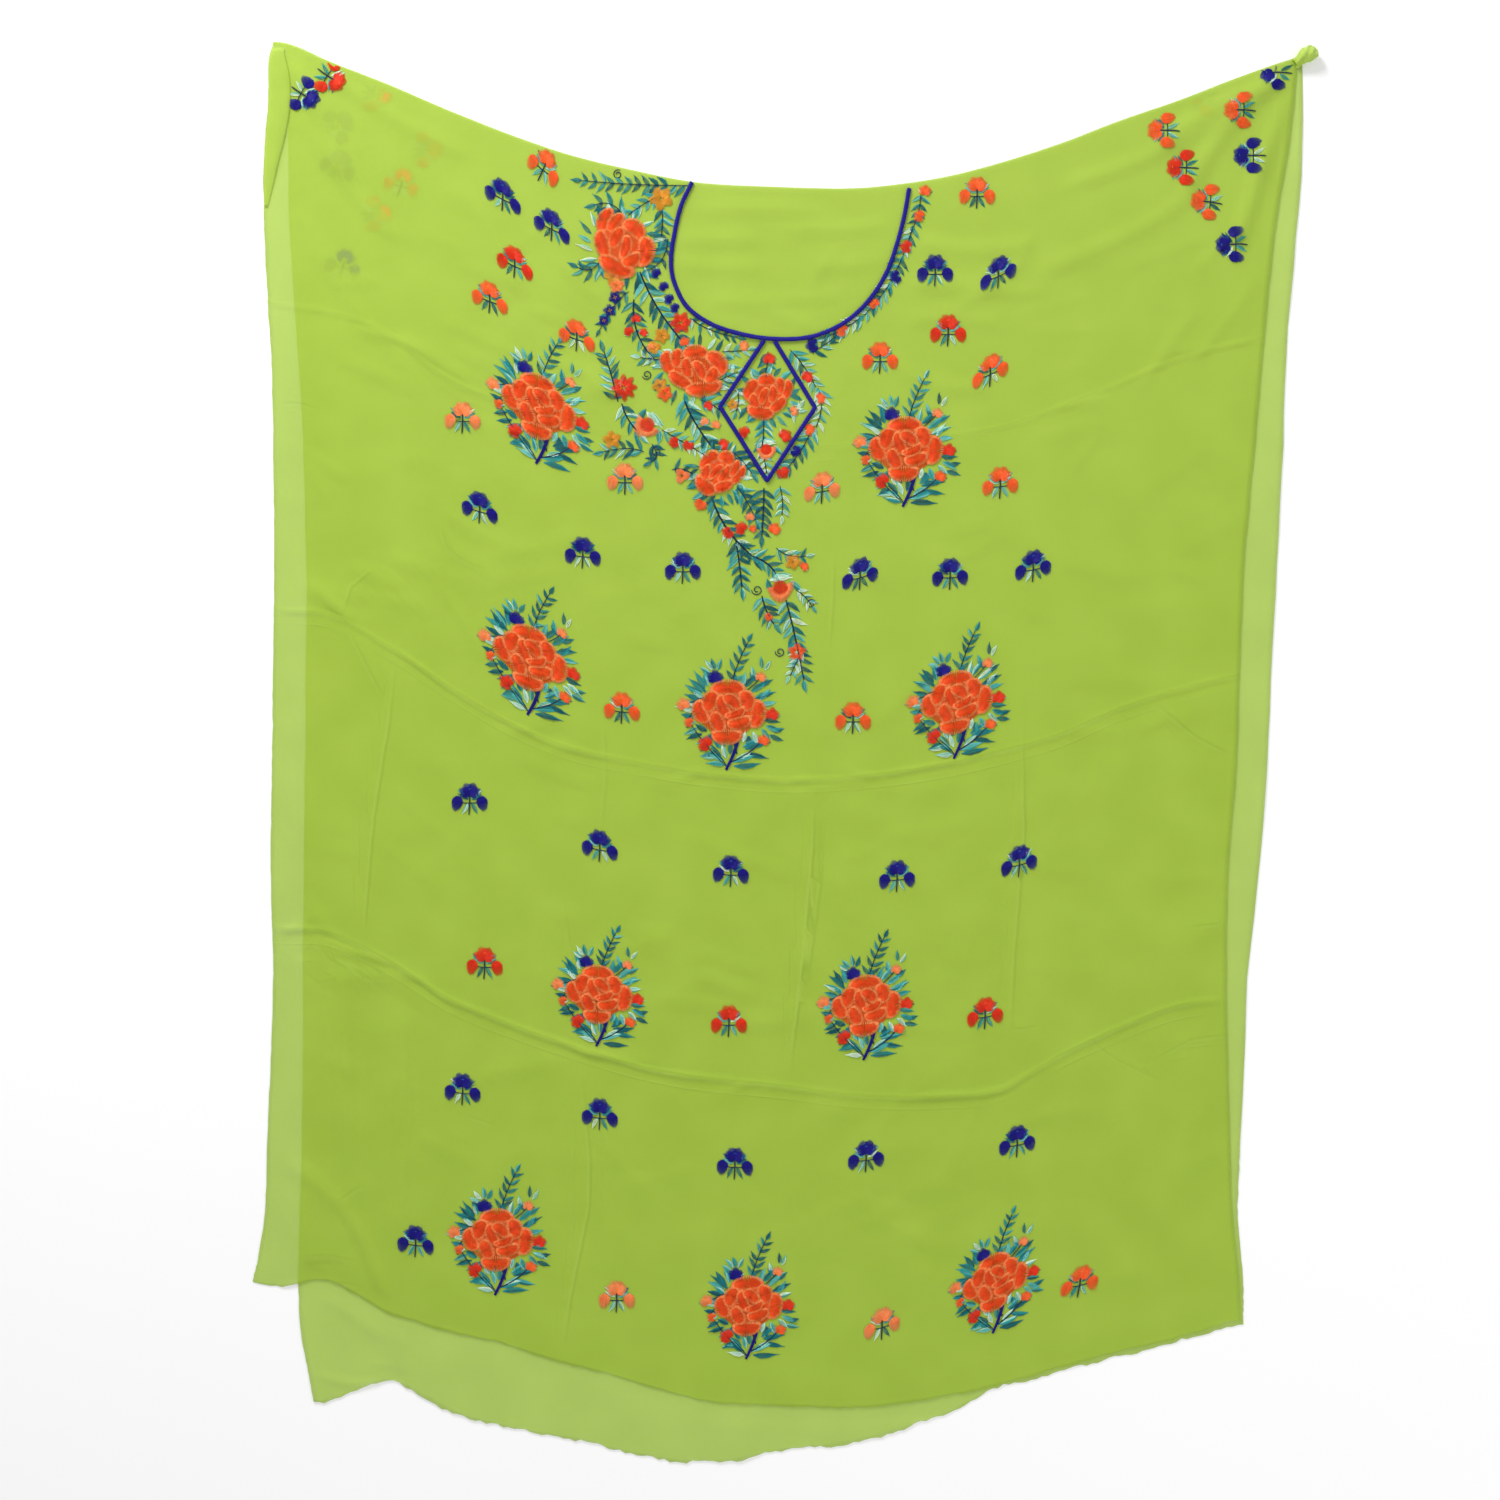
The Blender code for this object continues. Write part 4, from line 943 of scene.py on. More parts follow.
@functools.lru_cache(maxsize=None)
def georgette(name="georgette_sheer", pale=0.0, creased_and_shaded=False):
    """Sheer crepe georgette: two fine sets of threads with a crepe grain, denser and thinner in patches. Painted
    light makes it paler towards its top; where it is creased, painted shade and painted highlight lie beside each
    crease.
    """
    cloth = bpy.context.scene.kurti_cloth
    looks = Looks(name)
    across, down, _ = looks.parts(looks.cloth_place())
    place = looks.place()
    weave = (across * 9000.0).math("SINE") * 0.25 + (down * 9000.0).math("SINE") * 0.25 + 0.5
    patches = looks.noise(place, 22.0, 0.0)
    crinkle = looks.noise(place, 95.0, 1.0, 0.6)
    colour = looks.mix((patches - 0.3) * 1.6, tuple(cloth.deep_colour), tuple(cloth.colour))
    if pale:
        colour = looks.mix(pale, colour, tuple(cloth.pale_and_highlight_colour))
    # Painted light: the cloth is mixed paler towards its top, where the light falls brighter
    colour = looks.mix((0.60 - down) * 0.4, colour, tuple(cloth.pale_and_highlight_colour))
    colour = looks.mix(weave * 0.25, colour, tuple(cloth.pale_and_highlight_colour))
    height = crinkle * 1.2
    if creased_and_shaded:
        waver = (crinkle - 0.5) * 2.0
        for line, strength in (("crease_across", "across_strength"), ("crease_down", "down_strength")):
            away = looks.attribute(line) + waver
            shown = looks.attribute(strength)
            # Painted shade and painted highlight: a darker line on one side of each crease and a paler line on
            # the other, in place of how its relief is lit; the bump height is its real relief
            dark = bell(away - 1.3, 0.55) * shown
            light = bell(away + 1.3, 0.55) * shown
            colour = looks.mix(dark * 0.5, colour, tuple(cloth.crease_shade_colour))
            colour = looks.mix(light * 0.38, colour, tuple(cloth.pale_and_highlight_colour))
            height = height + bell(away, 0.25) * shown * 1.6
    looks.shade(
        base_color=colour,
        roughness=0.76 + weave * 0.08,
        alpha=cloth.cover - 0.10 + weave * 0.20,
        normal=looks.bump(height, 0.0006, 0.5),
    )
    looks.shader.inputs["Specular IOR Level"].default_value = 0.2
    return looks.material


@functools.lru_cache(maxsize=None)
def georgette_under():
    """The cloth's underside: sheer, in one plain colour."""
    cloth = bpy.context.scene.kurti_cloth
    looks = Looks("georgette_under")
    looks.shade(base_color=(*cloth.colour, 1.0), roughness=0.8, alpha=cloth.cover)
    looks.shader.inputs["Specular IOR Level"].default_value = 0.2
    return looks.material


def bell(value, narrowness):
    """A bell curve of a shader value."""
    return (value * value * -narrowness).math("EXPONENT")


@functools.lru_cache(maxsize=None)
def yarn(name, stops, roughness=0.6):
    """Embroidery thread: its colour goes along its shade, with fine fibres along each thread."""
    looks = Looks(name)
    fibre = looks.noise(looks.place(), 1200.0, 0.0)
    shade = looks.attribute("shade") + (fibre - 0.5) * 0.14
    colour = looks.node("ShaderNodeValToRGB", {"stops": stops}, {0: shade}, output=0)
    looks.shade(
        base_color=colour, roughness=roughness - 0.06 + fibre * 0.12, normal=looks.bump(fibre, 0.0001, 0.5)
    )
    looks.shader.inputs["Specular IOR Level"].default_value = 0.25
    return looks.material


def leaf_yarn():
    stops = ((0.0, (0.003, 0.100, 0.125)), (0.28, (0.004, 0.200, 0.225)), (0.55, (0.030, 0.370, 0.365)),
             (0.78, (0.200, 0.640, 0.560)), (1.0, (0.740, 0.880, 0.660)))
    return yarn("leaf_yarn", stops)


def blossom_yarn():
    stops = ((0.0, (0.700, 0.022, 0.004)), (0.30, (0.830, 0.050, 0.010)), (0.55, (0.900, 0.125, 0.018)),
             (0.78, (0.930, 0.230, 0.060)), (1.0, (0.950, 0.360, 0.140)))
    return yarn("blossom_yarn", stops)


def rose_yarn():
    stops = ((0.0, (0.740, 0.046, 0.003)), (0.35, (0.840, 0.084, 0.006)), (0.7, (0.900, 0.145, 0.018)),
             (1.0, (0.925, 0.200, 0.040)))
    return yarn("rose_yarn", stops)


def rose_edge_yarn():
    stops = ((0.0, (0.900, 0.150, 0.030)), (0.5, (0.930, 0.240, 0.065)), (1.0, (0.960, 0.370, 0.140)))
    return yarn("rose_edge_yarn", stops)


def navy_yarn():
    stops = ((0.0, (0.004, 0.002, 0.160)), (0.5, (0.008, 0.004, 0.240)), (1.0, (0.018, 0.014, 0.340)))
    return yarn("navy_yarn_twisted", stops)


def stem_yarn():
    stops = ((0.0, (0.004, 0.008, 0.050)), (0.5, (0.006, 0.035, 0.075)), (1.0, (0.010, 0.100, 0.110)))
    return yarn("stem_yarn", stops)


def gold_yarn():
    stops = ((0.0, (0.560, 0.190, 0.008)), (0.5, (0.760, 0.330, 0.024)), (1.0, (0.860, 0.480, 0.070)))
    return yarn("gold_yarn", stops)


def blossom_kind(colour):
    return {"navy": "navy", "gold": "gold"}.get(colour, "blossom")


class Ground:
    """Where a motif lies: its middle, how far the cloth's weft rises across it, its turn and its size."""

    def __init__(self, x, y, slope=0.0, turn=0.0, size=1.0, mirror=1.0):
        self.middle = np.array(from_photo(x, y))
        self.slope = slope
        self.turn = math.radians(turn)
        self.size = size
        self.mirror = mirror

    def at(self, points):
        """Places in metres of points that are in millimetres from the motif's middle."""
        points = np.asarray(points, float) * (self.mirror * self.size * MM, self.size * MM)
        x, y = points[:, 0], points[:, 1] + self.slope * points[:, 0]
        c, s = math.cos(self.turn), math.sin(self.turn)
        return self.middle + np.stack([x * c - y * s, x * s + y * c], -1)


class Needlework:
    """All the laid threads of one surface, sorted by what they are made of."""

    def __init__(self, seed):
        self.rng = np.random.default_rng(seed)
        self.kinds = {}

    def lay(self, kind, places, lift, shade, girth=1.0, ends=0.62):
        """One thread through places in metres, lifted by lift millimetres from end to end."""
        count = len(places)
        jitter = self.rng.normal(0.0, 0.05)
        shades = np.clip(np.broadcast_to(np.asarray(shade, float), (count,)) + jitter, 0.0, 1.0)
        lifts = np.broadcast_to(np.asarray(lift, float), (count,)) * MM
        taper = np.ones(count)
        taper[0] = taper[-1] = ends
        self.kinds.setdefault(kind, []).append((np.asarray(places), lifts, shades, taper * girth))


def unit(angle):
    return np.array((math.cos(math.radians(angle)), math.sin(math.radians(angle))))


def sew_leaf(work, ground, x, y, turn, length, width, shade, second_shade=None):
    """A leaf of long threads that run side by side from its base to its tip, often in two tones."""
    along, aside = unit(turn), unit(turn + 90)
    count = max(3, round(width / THREAD_PITCH))
    bend = work.rng.uniform(-0.07, 0.07) * length
    if second_shade is None:
        second_shade = np.clip(shade + work.rng.uniform(-0.30, 0.42), 0.02, 0.98)
    for k in range(count):
        side = 2 * k / (count - 1) - 1
        half = side * width / 2
        reach = length * (1 - 0.12 * abs(side)) * work.rng.uniform(0.94, 1.04)
        spots = [(0.0, 0.12), (0.34, 0.95), (0.70, 0.74), (1.0, 0.05)]
        points = [
            np.array((x, y)) + along * reach * t + aside * (half * w + bend * math.sin(math.pi * t))
            for t, w in spots
        ]
        tone = (shade if side < 0 else second_shade) + work.rng.normal(0, 0.05)
        work.lay("leaf", ground.at(points), [0.15, 0.6, 0.6, 0.15], tone)


def sew_fan(work, ground, kind, x, y, turn, length, half_width, shades, lift=0.4):
    """A small petal: threads fan from its base to its round end."""
    along, aside = unit(turn), unit(turn + 90)
    base = np.array((x, y))
    count = max(4, round(half_width * 2.5 / THREAD_PITCH))
    for k in range(count):
        side = 2 * k / (count - 1) - 1
        angle = side * math.radians(84)
        start = base + aside * side * half_width * 0.40
        end = base + aside * math.sin(angle) * half_width
        end = end + along * length * (0.34 + 0.66 * math.cos(angle)) * work.rng.uniform(0.95, 1.03)
        bulge = aside * side * half_width * 0.16
        points = [start, start * 0.6 + end * 0.4 + bulge, start * 0.2 + end * 0.8 + bulge * 0.6, end]
        lifts = np.array([0.6, 1.0, 0.95, 0.35]) * (0.55 + lift)
        work.lay(kind, ground.at(points), lifts, shades)


def petal_outline(petal, share, angles):
    """Points round a petal at a share of its size. Its bend arches it, and its outline has squarish ends."""
    c, s = np.cos(angles), np.sin(angles)
    px = np.sign(c) * np.abs(c) ** 0.86 * petal.length / 2 * share[0]
    py = np.sign(s) * np.abs(s) ** 0.86 * petal.width / 2 * share[1]
    py = py + petal.bend * (1.0 - (2 * px / petal.length) ** 2) - petal.bend * 0.5
    turn = math.radians(petal.turn)
    x = petal.x + px * math.cos(turn) - py * math.sin(turn)
    y = petal.y + px * math.sin(turn) + py * math.cos(turn)
    return np.stack([x, y], -1)


def sew_rose(work, ground, petals, stretch):
    """A large rose: each petal has threads that run out from a deep heart, and an edge of short pale stitches."""
    stretch = np.array(stretch)
    half_x = max(abs(p.x) + p.length / 3 for p in petals) * PADDING_SHARE
    half_y = max(abs(p.y) + p.width / 3 for p in petals) * PADDING_SHARE
    for x in np.arange(-half_x, half_x + 0.1, 1.6):
        reach = half_y * math.sqrt(max(0.0, 1.0 - (x / half_x) ** 2)) + 1.0
        path = ground.at(np.array([(x, -reach), (x + 1.2, 0.0), (x, reach)]) * stretch)
        work.lay("rose", path, [0.5, 0.9, 0.5], 0.45, 1.9)
    for layer, petal in enumerate(petals):
        round_length = math.pi * (petal.length + petal.width) / 2 * stretch.mean()
        count = max(10, round(round_length / ROSE_PITCH))
        angles = np.linspace(0, 2 * math.pi, count, endpoint=False) + work.rng.uniform(0, 0.2)
        rims = petal_outline(petal, (1.00, 1.02), angles) * stretch
        middles = petal_outline(petal, (0.80, 0.48), angles) * stretch
        cores = petal_outline(petal, (0.55, -0.22), angles) * stretch
        outers = petal_outline(petal, (1.09, 1.14), angles) * stretch
        inners = petal_outline(petal, (0.88, 0.74), angles) * stretch
        floor = 0.12 * layer
        heart = work.rng.uniform(-0.05, 0.05)
        for rim, middle, core in zip(rims, middles, cores):
            path = ground.at([rim, middle, core])
            deep = heart + work.rng.uniform(-0.06, 0.06)
            lifts = [0.5 + floor, 1.15 + floor, 0.95 + floor]
            work.lay("rose", path, lifts, [0.58 + deep, 0.30 + deep, 0.10 + deep], 1.25, 0.8)
        for outer, inner in zip(outers, inners):
            reach = work.rng.uniform(0.72, 1.12)
            path = ground.at([outer, outer + (inner - outer) * reach])
            tone = 0.5 + work.rng.uniform(-0.25, 0.4)
            work.lay("rose_edge", path, [0.7 + floor, 1.5 + floor], tone, 1.25, 0.85)


def sew_bud(work, ground, bud):
    """A small bud: three petals that open from its foot, held by two short leaves."""
    kind, shade = blossom_kind(bud.colour), BLOSSOM_SHADES[bud.colour]
    foot = np.array((bud.x, bud.y)) - unit(bud.turn) * 4.0 * bud.size
    for side in (-1, 1):
        tone = work.rng.uniform(0.05, 0.9)
        sew_leaf(work, ground, *foot, bud.turn + side * 62, 7.5 * bud.size, 2.4, tone)
    shades = np.array((-0.14, -0.05, 0.02, 0.10)) + shade
    for offset, reach in ((-38, 7.6), (38, 7.6), (0, 8.6)):
        sew_fan(work, ground, kind, *foot, bud.turn + offset, reach * bud.size, 3.2 * bud.size, shades)


def sew_stem(work, ground, points, width, kind="stem", shade=0.3):
    """A stem: threads laid side by side along a curve."""
    path = np.array(points, float)
    t = np.linspace(0, 1, 8)[:, None]
    path = (1 - t) ** 2 * path[0] + 2 * t * (1 - t) * path[1] + t * t * path[2]
    runs = np.gradient(path, axis=0)
    aside = np.stack([-runs[:, 1], runs[:, 0]], -1) / np.linalg.norm(runs, axis=1)[:, None]
    count = max(1, round(width / 0.9))
    for k in range(count):
        side = 0.0 if count == 1 else (2 * k / (count - 1) - 1) * (width - 0.9) / 2
        taper = np.linspace(1.0, 0.7, len(path))[:, None]
        work.lay(kind, ground.at(path + aside * side * taper), [0.3] + [0.75] * 6 + [0.3], shade, 1.15)
    return path


def sew_fern(work, ground, start, bend, end, leaf, spacing, shade, spread, width):
    """A leafy branch: a stem with leaves on both sides and one at its tip."""
    path = sew_stem(work, ground, (start, bend, end), width)
    lengths = np.concatenate([[0], np.cumsum(np.linalg.norm(np.diff(path, axis=0), axis=1))])
    count = max(2, round(lengths[-1] / (spacing * 1.15)))
    for k in range(count):
        s = lengths[-1] * (k + 0.3) / count
        at = np.array([np.interp(s, lengths, path[:, i]) for i in (0, 1)])
        ahead = np.array([np.interp(s + 0.5, lengths, path[:, i]) for i in (0, 1)])
        run = ahead - at if np.linalg.norm(ahead - at) > 1e-6 else path[-1] - path[-2]
        heading = math.degrees(math.atan2(run[1], run[0]))
        size = 1.0 - 0.30 * k / count
        for side in (-1, 1):
            turn = heading + side * work.rng.uniform(36, 56)
            tone = np.clip(shade + work.rng.uniform(-spread, spread), 0.02, 0.98)
            length = leaf * size * work.rng.uniform(0.85, 1.12)
            sew_leaf(work, ground, *at, turn, length, max(2.4, leaf * 0.24 * size), tone)
    run = path[-1] - path[-2]
    heading = math.degrees(math.atan2(run[1], run[0]))
    sew_leaf(work, ground, *path[-1], heading, leaf * 0.75, leaf * 0.26, shade)


def sew_flower(work, ground, radius, petals, colour):
    """A small open flower with a stitched eye."""
    shade = BLOSSOM_SHADES[colour]
    start = work.rng.uniform(0, 360)
    for k in range(petals):
        tones = np.array((-0.20, -0.08, 0.02, 0.12)) + shade + work.rng.uniform(-0.08, 0.08)
        turn = start + 360 * k / petals
        half = radius * 2.0 / max(petals, 4)
        foot = unit(turn) * radius * 0.1
        sew_fan(work, ground, blossom_kind(colour), *foot, turn, radius, half, tones, 0.3)
    for k in range(4):
        spot = unit(90 * k) * radius * 0.14
        work.lay("gold", ground.at([spot, spot + unit(90 * k + 50) * radius * 0.2]), 1.2, 0.2, 1.4)


def sew_cup(work, cup):
    """An open flower: a peach bowl of short rays round a red heart, under a white and blue cap."""
    ground = Ground(cup.x, cup.y, turn=cup.turn, size=cup.size)
    for angle in np.arange(-178, 28, 6.0):
        ray = unit(angle)
        outer = 12.0 + 1.2 * math.sin(math.radians(angle * 3))
        work.lay("blossom", ground.at([ray * 5.0, ray * 8.5, ray * outer]), [0.8, 1.1, 0.5], 0.86, 1.25)
    for x in np.arange(-6.0, 6.5, 1.0):
        reach = math.sqrt(max(4.0, 46.0 - x * x))
        work.lay("blossom", ground.at([(x, -reach), (x + 0.4, 0.0), (x, reach)]), [1.0, 1.5, 1.0], 0.24, 1.2)
    sew_leaf(work, ground, -9.0, 7.0, 6, 21, 6.5, 0.98, 0.92)
    sew_leaf(work, ground, -6.0, 10.5, 4, 17, 4.5, 0.94, 0.80)
    sew_leaf(work, ground, 9.0, 6.0, -38, 15, 5.0, 0.42, 0.66)
    sew_leaf(work, ground, -9.0, -3.0, 104, 12, 5.0, 0.20, 0.45)


def sew_sprig(work, sprig):
    """A sprig: a wide fan blossom over two drops, with leaves between them on a crossed stem."""
    ground = Ground(sprig.x, sprig.y, sprig.slope, sprig.turn)
    rng = work.rng
    kind, shade = blossom_kind(sprig.colour), BLOSSOM_SHADES[sprig.colour]
    tones = np.array((-0.12, -0.05, 0.02, 0.10)) + shade
    for offset, reach, half in ((60, 12.0, 5.0), (-60, 12.0, 5.0), (21, 12.8, 5.2), (-21, 12.8, 5.2)):
        sew_fan(work, ground, kind, 0, 3.0, 90 + offset, reach, half, tones)
    eye = 0.95 if kind != "navy" else 0.45
    work.lay("blossom" if kind != "navy" else "leaf", ground.at([(-0.9, 9.0), (0.9, 9.4)]), 1.3, eye, 0.8)
    for side in (-1, 1):
        sew_fan(work, ground, kind, side * 11.0, 1.5, -90 + side * 14, 15.0, 5.4, tones, 0.3)
        sew_fan(work, ground, kind, side * 12.2, -3.5, 90 + side * 10, 6.0, 3.6, tones, 0.25)
        leaves = ((1.5, 0.5, 54, 13.5, 3.6), (2.0, -1.5, 60, 12.0, 2.8), (2.0, -5.2, 152, 12.5, 3.0))
        for x, y, lean, length, width in leaves:
            tone = rng.choice((0.12, 0.35, 0.62, 0.66, 0.92))
            sew_leaf(work, ground, side * x, y, 90 - side * lean, length, width, tone)
    sew_stem(work, ground, ((0, 3.0), (0.4, -7), (-0.8, -17)), 1.4)
    sew_stem(work, ground, ((-9.0, -4.2), (0, -5.6), (9.0, -4.2)), 1.1)


def sew_bouquet(work, bouquet):
    ground = Ground(*bouquet)
    for leaf in BOUQUET_LEAVES:
        shade = np.clip(leaf.shade + work.rng.uniform(-0.15, 0.15), 0.02, 0.98)
        turn = leaf.turn + work.rng.uniform(-6, 6)
        sew_leaf(work, ground, leaf.x, leaf.y, turn, leaf.length, leaf.width, shade)
    for stem in BOUQUET_STEMS:
        kind = "navy" if stem.width > 3 else "stem"
        sew_stem(work, ground, ((stem.x1, stem.y1), (stem.x2, stem.y2), (stem.x3, stem.y3)), stem.width, kind)
    sew_fern(work, ground, FERN_START, FERN_BEND, FERN_END, 14.0, 7.0, work.rng.uniform(0.2, 0.5), 0.25, 1.3)
    for bud in BOUQUET_BUDS:
        sew_bud(work, ground, bud)
    sew_rose(work, ground, ROSE_PETALS, (1.0, 1.0))


def sew_leaf_ring(work, rose):
    """Leaves in mixed tones that stand out from under a rose all round it."""
    ground = Ground(rose.x, rose.y, turn=rose.turn)
    for angle in np.arange(0, 360, LEAF_RING_STEP) + work.rng.uniform(0, LEAF_RING_STEP):
        out = unit(angle) * (rose.width * 0.46, rose.height * 0.46)
        turn = angle + work.rng.uniform(-42, 42)
        tone = work.rng.choice((0.08, 0.20, 0.34, 0.52, 0.66, 0.80, 0.97))
        length = work.rng.uniform(0.16, 0.27) * rose.height + 3.0
        sew_leaf(work, ground, *out, turn, length, work.rng.uniform(3.0, 4.6), tone)


def sew_neck_spray(work):
    for branch in NECK_BRANCHES:
        ends = [np.array(from_photo(*branch[k : k + 2])) / MM for k in (0, 2, 4)]
        ground = Ground(*PHOTO_ORIGIN)
        leaf, spacing, spread = branch.leaf * 1.22, branch.spacing * 1.3, branch.spread * 1.5
        sew_fern(work, ground, *ends, leaf, spacing, branch.shade, spread, branch.stem)
    for rose in NECK_ROSES:
        sew_leaf_ring(work, rose)
    for curl in CURLS:
        turns = np.linspace(0, 1.35 * 2 * math.pi, 13)
        radii = curl.radius * (1.0 - 0.72 * turns / turns[-1])
        points = np.stack([radii * np.cos(turns), radii * np.sin(turns)], -1)
        work.lay("stem", Ground(curl.x, curl.y, turn=curl.turn).at(points), 0.5, 0.4, 1.2)
    for flower in NECK_FLOWERS:
        sew_flower(work, Ground(flower.x, flower.y), flower.radius, flower.petals, flower.colour)
    for cup in CUPS:
        sew_cup(work, cup)
    for bud in NECK_BUDS:
        sew_bud(work, Ground(bud.x, bud.y), Bud(0, 0, bud.turn, bud.size, bud.colour))
    for rose in NECK_ROSES:
        ground = Ground(rose.x, rose.y, turn=rose.turn, mirror=rose.mirror)
        stretch = (rose.width / SIDE_ROSE_SIZE[0], rose.height / SIDE_ROSE_SIZE[1])
        sew_rose(work, ground, SIDE_ROSE_PETALS, stretch)


@functools.lru_cache(maxsize=None)
def front_needlework():
    work = Needlework(21)
    for sprig in SPRIGS:
        sew_sprig(work, sprig)
    for bouquet in BOUQUETS:
        sew_bouquet(work, bouquet)
    sew_neck_spray(work)
    return work


@functools.lru_cache(maxsize=None)
def back_needlework():
    work = Needlework(22)
    for sprig in BACK_SPRIGS:
        sew_sprig(work, sprig)
    return work


def nodes_tree(name, inputs):
    """A new Geometry Nodes tree with named inputs, and short ways to add and join its nodes."""
    tree = bpy.data.node_groups.new(name, "GeometryNodeTree")
    tree.interface.new_socket("Geometry", in_out="INPUT", socket_type="NodeSocketGeometry")
    for label, kind in inputs:
        tree.interface.new_socket(label, in_out="INPUT", socket_type=kind)
    tree.interface.new_socket("Geometry", in_out="OUTPUT", socket_type="NodeSocketGeometry")
    start = tree.nodes.new("NodeGroupInput")

    def add(kind, links, **settings):
        made = tree.nodes.new(kind)
        for key, value in settings.items():
            setattr(made, key, value)
        for key, value in links.items():
            if isinstance(value, bpy.types.NodeSocket):
                tree.links.new(value, made.inputs[key])
            else:
                made.inputs[key].default_value = value
        return made

    return tree, start, add


def finished_tree(tree, start, add, tube):
    """The tree, ended with its tubes made real and dressed in the material that it is given."""
    real = add("GeometryNodeRealizeInstances", {"Geometry": tube.outputs[0]})
    dress = {"Geometry": real.outputs[0], "Material": start.outputs["Material"]}
    dressed = add("GeometryNodeSetMaterial", dress)
    end = tree.nodes.new("NodeGroupOutput")
    tree.links.new(dressed.outputs[0], end.inputs["Geometry"])
    return tree


@functools.lru_cache(maxsize=None)
def thread_tree():
    """Every line of edges becomes a thread with a flat, round-topped section."""
    inputs = (
        ("Width", "NodeSocketFloat"), ("Flatness", "NodeSocketFloat"), ("Sides", "NodeSocketInt"),
        ("Material", "NodeSocketMaterial"),
    )
    tree, start, add = nodes_tree("laid threads", inputs)
    curve = add("GeometryNodeMeshToCurve", {"Mesh": start.outputs["Geometry"]})
    upright = add("GeometryNodeSetCurveNormal", {"Curve": curve.outputs[0]}, mode="Z_UP")
    half = add("ShaderNodeMath", {0: start.outputs["Width"], 1: 0.5}, operation="MULTIPLY")
    section_sizes = {"Resolution": start.outputs["Sides"], "Radius": half.outputs[0]}
    ring = add("GeometryNodeCurvePrimitiveCircle", section_sizes)
    shape = add("ShaderNodeCombineXYZ", {"X": 1.0, "Y": start.outputs["Flatness"], "Z": 1.0})
    flat = add("GeometryNodeTransform", {"Geometry": ring.outputs[0], "Scale": shape.outputs[0]})
    girth = add("GeometryNodeInputNamedAttribute", {"Name": "girth"}, data_type="FLOAT")
    tube = add(
        "GeometryNodeCurveToMesh",
        {
            "Curve": upright.outputs[0],
            "Profile Curve": flat.outputs[0],
            "Scale": girth.outputs["Attribute"],
            "Fill Caps": True,
        },
    )
    return finished_tree(tree, start, add, tube)


@functools.lru_cache(maxsize=None)
def cord_tree():
    """A path becomes a cord of three plies that wind round it, flattened onto the cloth."""
    inputs = (
        ("Width", "NodeSocketFloat"), ("Twist", "NodeSocketFloat"), ("Flatness", "NodeSocketFloat"),
        ("Material", "NodeSocketMaterial"),
    )
    tree, start, add = nodes_tree("twisted cord", inputs)

    def times(a, b):
        return add("ShaderNodeMath", {0: a, 1: b}, operation="MULTIPLY").outputs[0]

    curve = add("GeometryNodeMeshToCurve", {"Mesh": start.outputs["Geometry"]})
    step = times(start.outputs["Twist"], 1 / 9)
    path = add("GeometryNodeResampleCurve", {"Curve": curve.outputs[0], "Length": step}, mode="LENGTH")
    along = add("GeometryNodeSplineParameter", {})
    turns = add("ShaderNodeMath", {0: along.outputs["Length"], 1: start.outputs["Twist"]}, operation="DIVIDE")
    tangent = add("GeometryNodeInputTangent", {})
    axes = {0: tangent.outputs[0], 1: (0.0, 0.0, 1.0)}
    aside = add("ShaderNodeVectorMath", axes, operation="CROSS_PRODUCT")
    plies = add("GeometryNodeJoinGeometry", {})
    for ply in range(3):
        angle = add("ShaderNodeMath", {0: turns.outputs[0], 1: ply / 3}, operation="ADD").outputs[0]
        angle = times(angle, 2 * math.pi)
        reach = times(start.outputs["Width"], 0.26)
        sideways = times(add("ShaderNodeMath", {0: angle}, operation="COSINE").outputs[0], reach)
        upwards = times(add("ShaderNodeMath", {0: angle}, operation="SINE").outputs[0], reach)
        upwards = times(upwards, start.outputs["Flatness"])
        out = add("ShaderNodeVectorMath", {0: aside.outputs[0], "Scale": sideways}, operation="SCALE")
        up = add("ShaderNodeCombineXYZ", {"Z": upwards})
        offset = add("ShaderNodeVectorMath", {0: out.outputs[0], 1: up.outputs[0]}, operation="ADD")
        moved = add("GeometryNodeSetPosition", {"Geometry": path.outputs[0], "Offset": offset.outputs[0]})
        tree.links.new(moved.outputs[0], plies.inputs[0])
    radius = times(start.outputs["Width"], 0.27)
    ring = add("GeometryNodeCurvePrimitiveCircle", {"Resolution": 6, "Radius": radius})
    tube = add(
        "GeometryNodeCurveToMesh",
        {"Curve": plies.outputs[0], "Profile Curve": ring.outputs[0], "Fill Caps": True},
    )
    return finished_tree(tree, start, add, tube)


def made_real(name, mesh, tree, values):
    """Runs a Geometry Nodes tree on a mesh, and gives a plain mesh object of what it makes."""
    carrier = bpy.data.objects.new(name + "_paths", mesh)
    bpy.context.scene.collection.objects.link(carrier)
    nodes = carrier.modifiers.new("nodes", "NODES")
    nodes.node_group = tree
    for item in tree.interface.items_tree:
        if item.in_out == "INPUT" and item.name in values:
            nodes[item.identifier] = values[item.name]
    evaluated = carrier.evaluated_get(bpy.context.evaluated_depsgraph_get())
    plain = bpy.data.meshes.new_from_object(evaluated)
    bpy.data.objects.remove(carrier)
    made = bpy.data.objects.new(name, plain)
    plain.name = name
    plain.shade_smooth()
    bpy.context.scene.collection.objects.link(made)
    return made


def on_front(x, y):
    """Whether places lie on the front, clear of its shoulder fold and its side edges."""
    inside = np.minimum(x - section("front_left", y), section("front_right", y) - x)
    return np.minimum(inside, station("fold", x) - y) > EDGE_ROOM


def on_back(x, y):
    inside = np.minimum(x - section("back_left", y), section("back_right", y) - x)
    return np.minimum(inside, station("fold", x) - BACK_START - y) > EDGE_ROOM


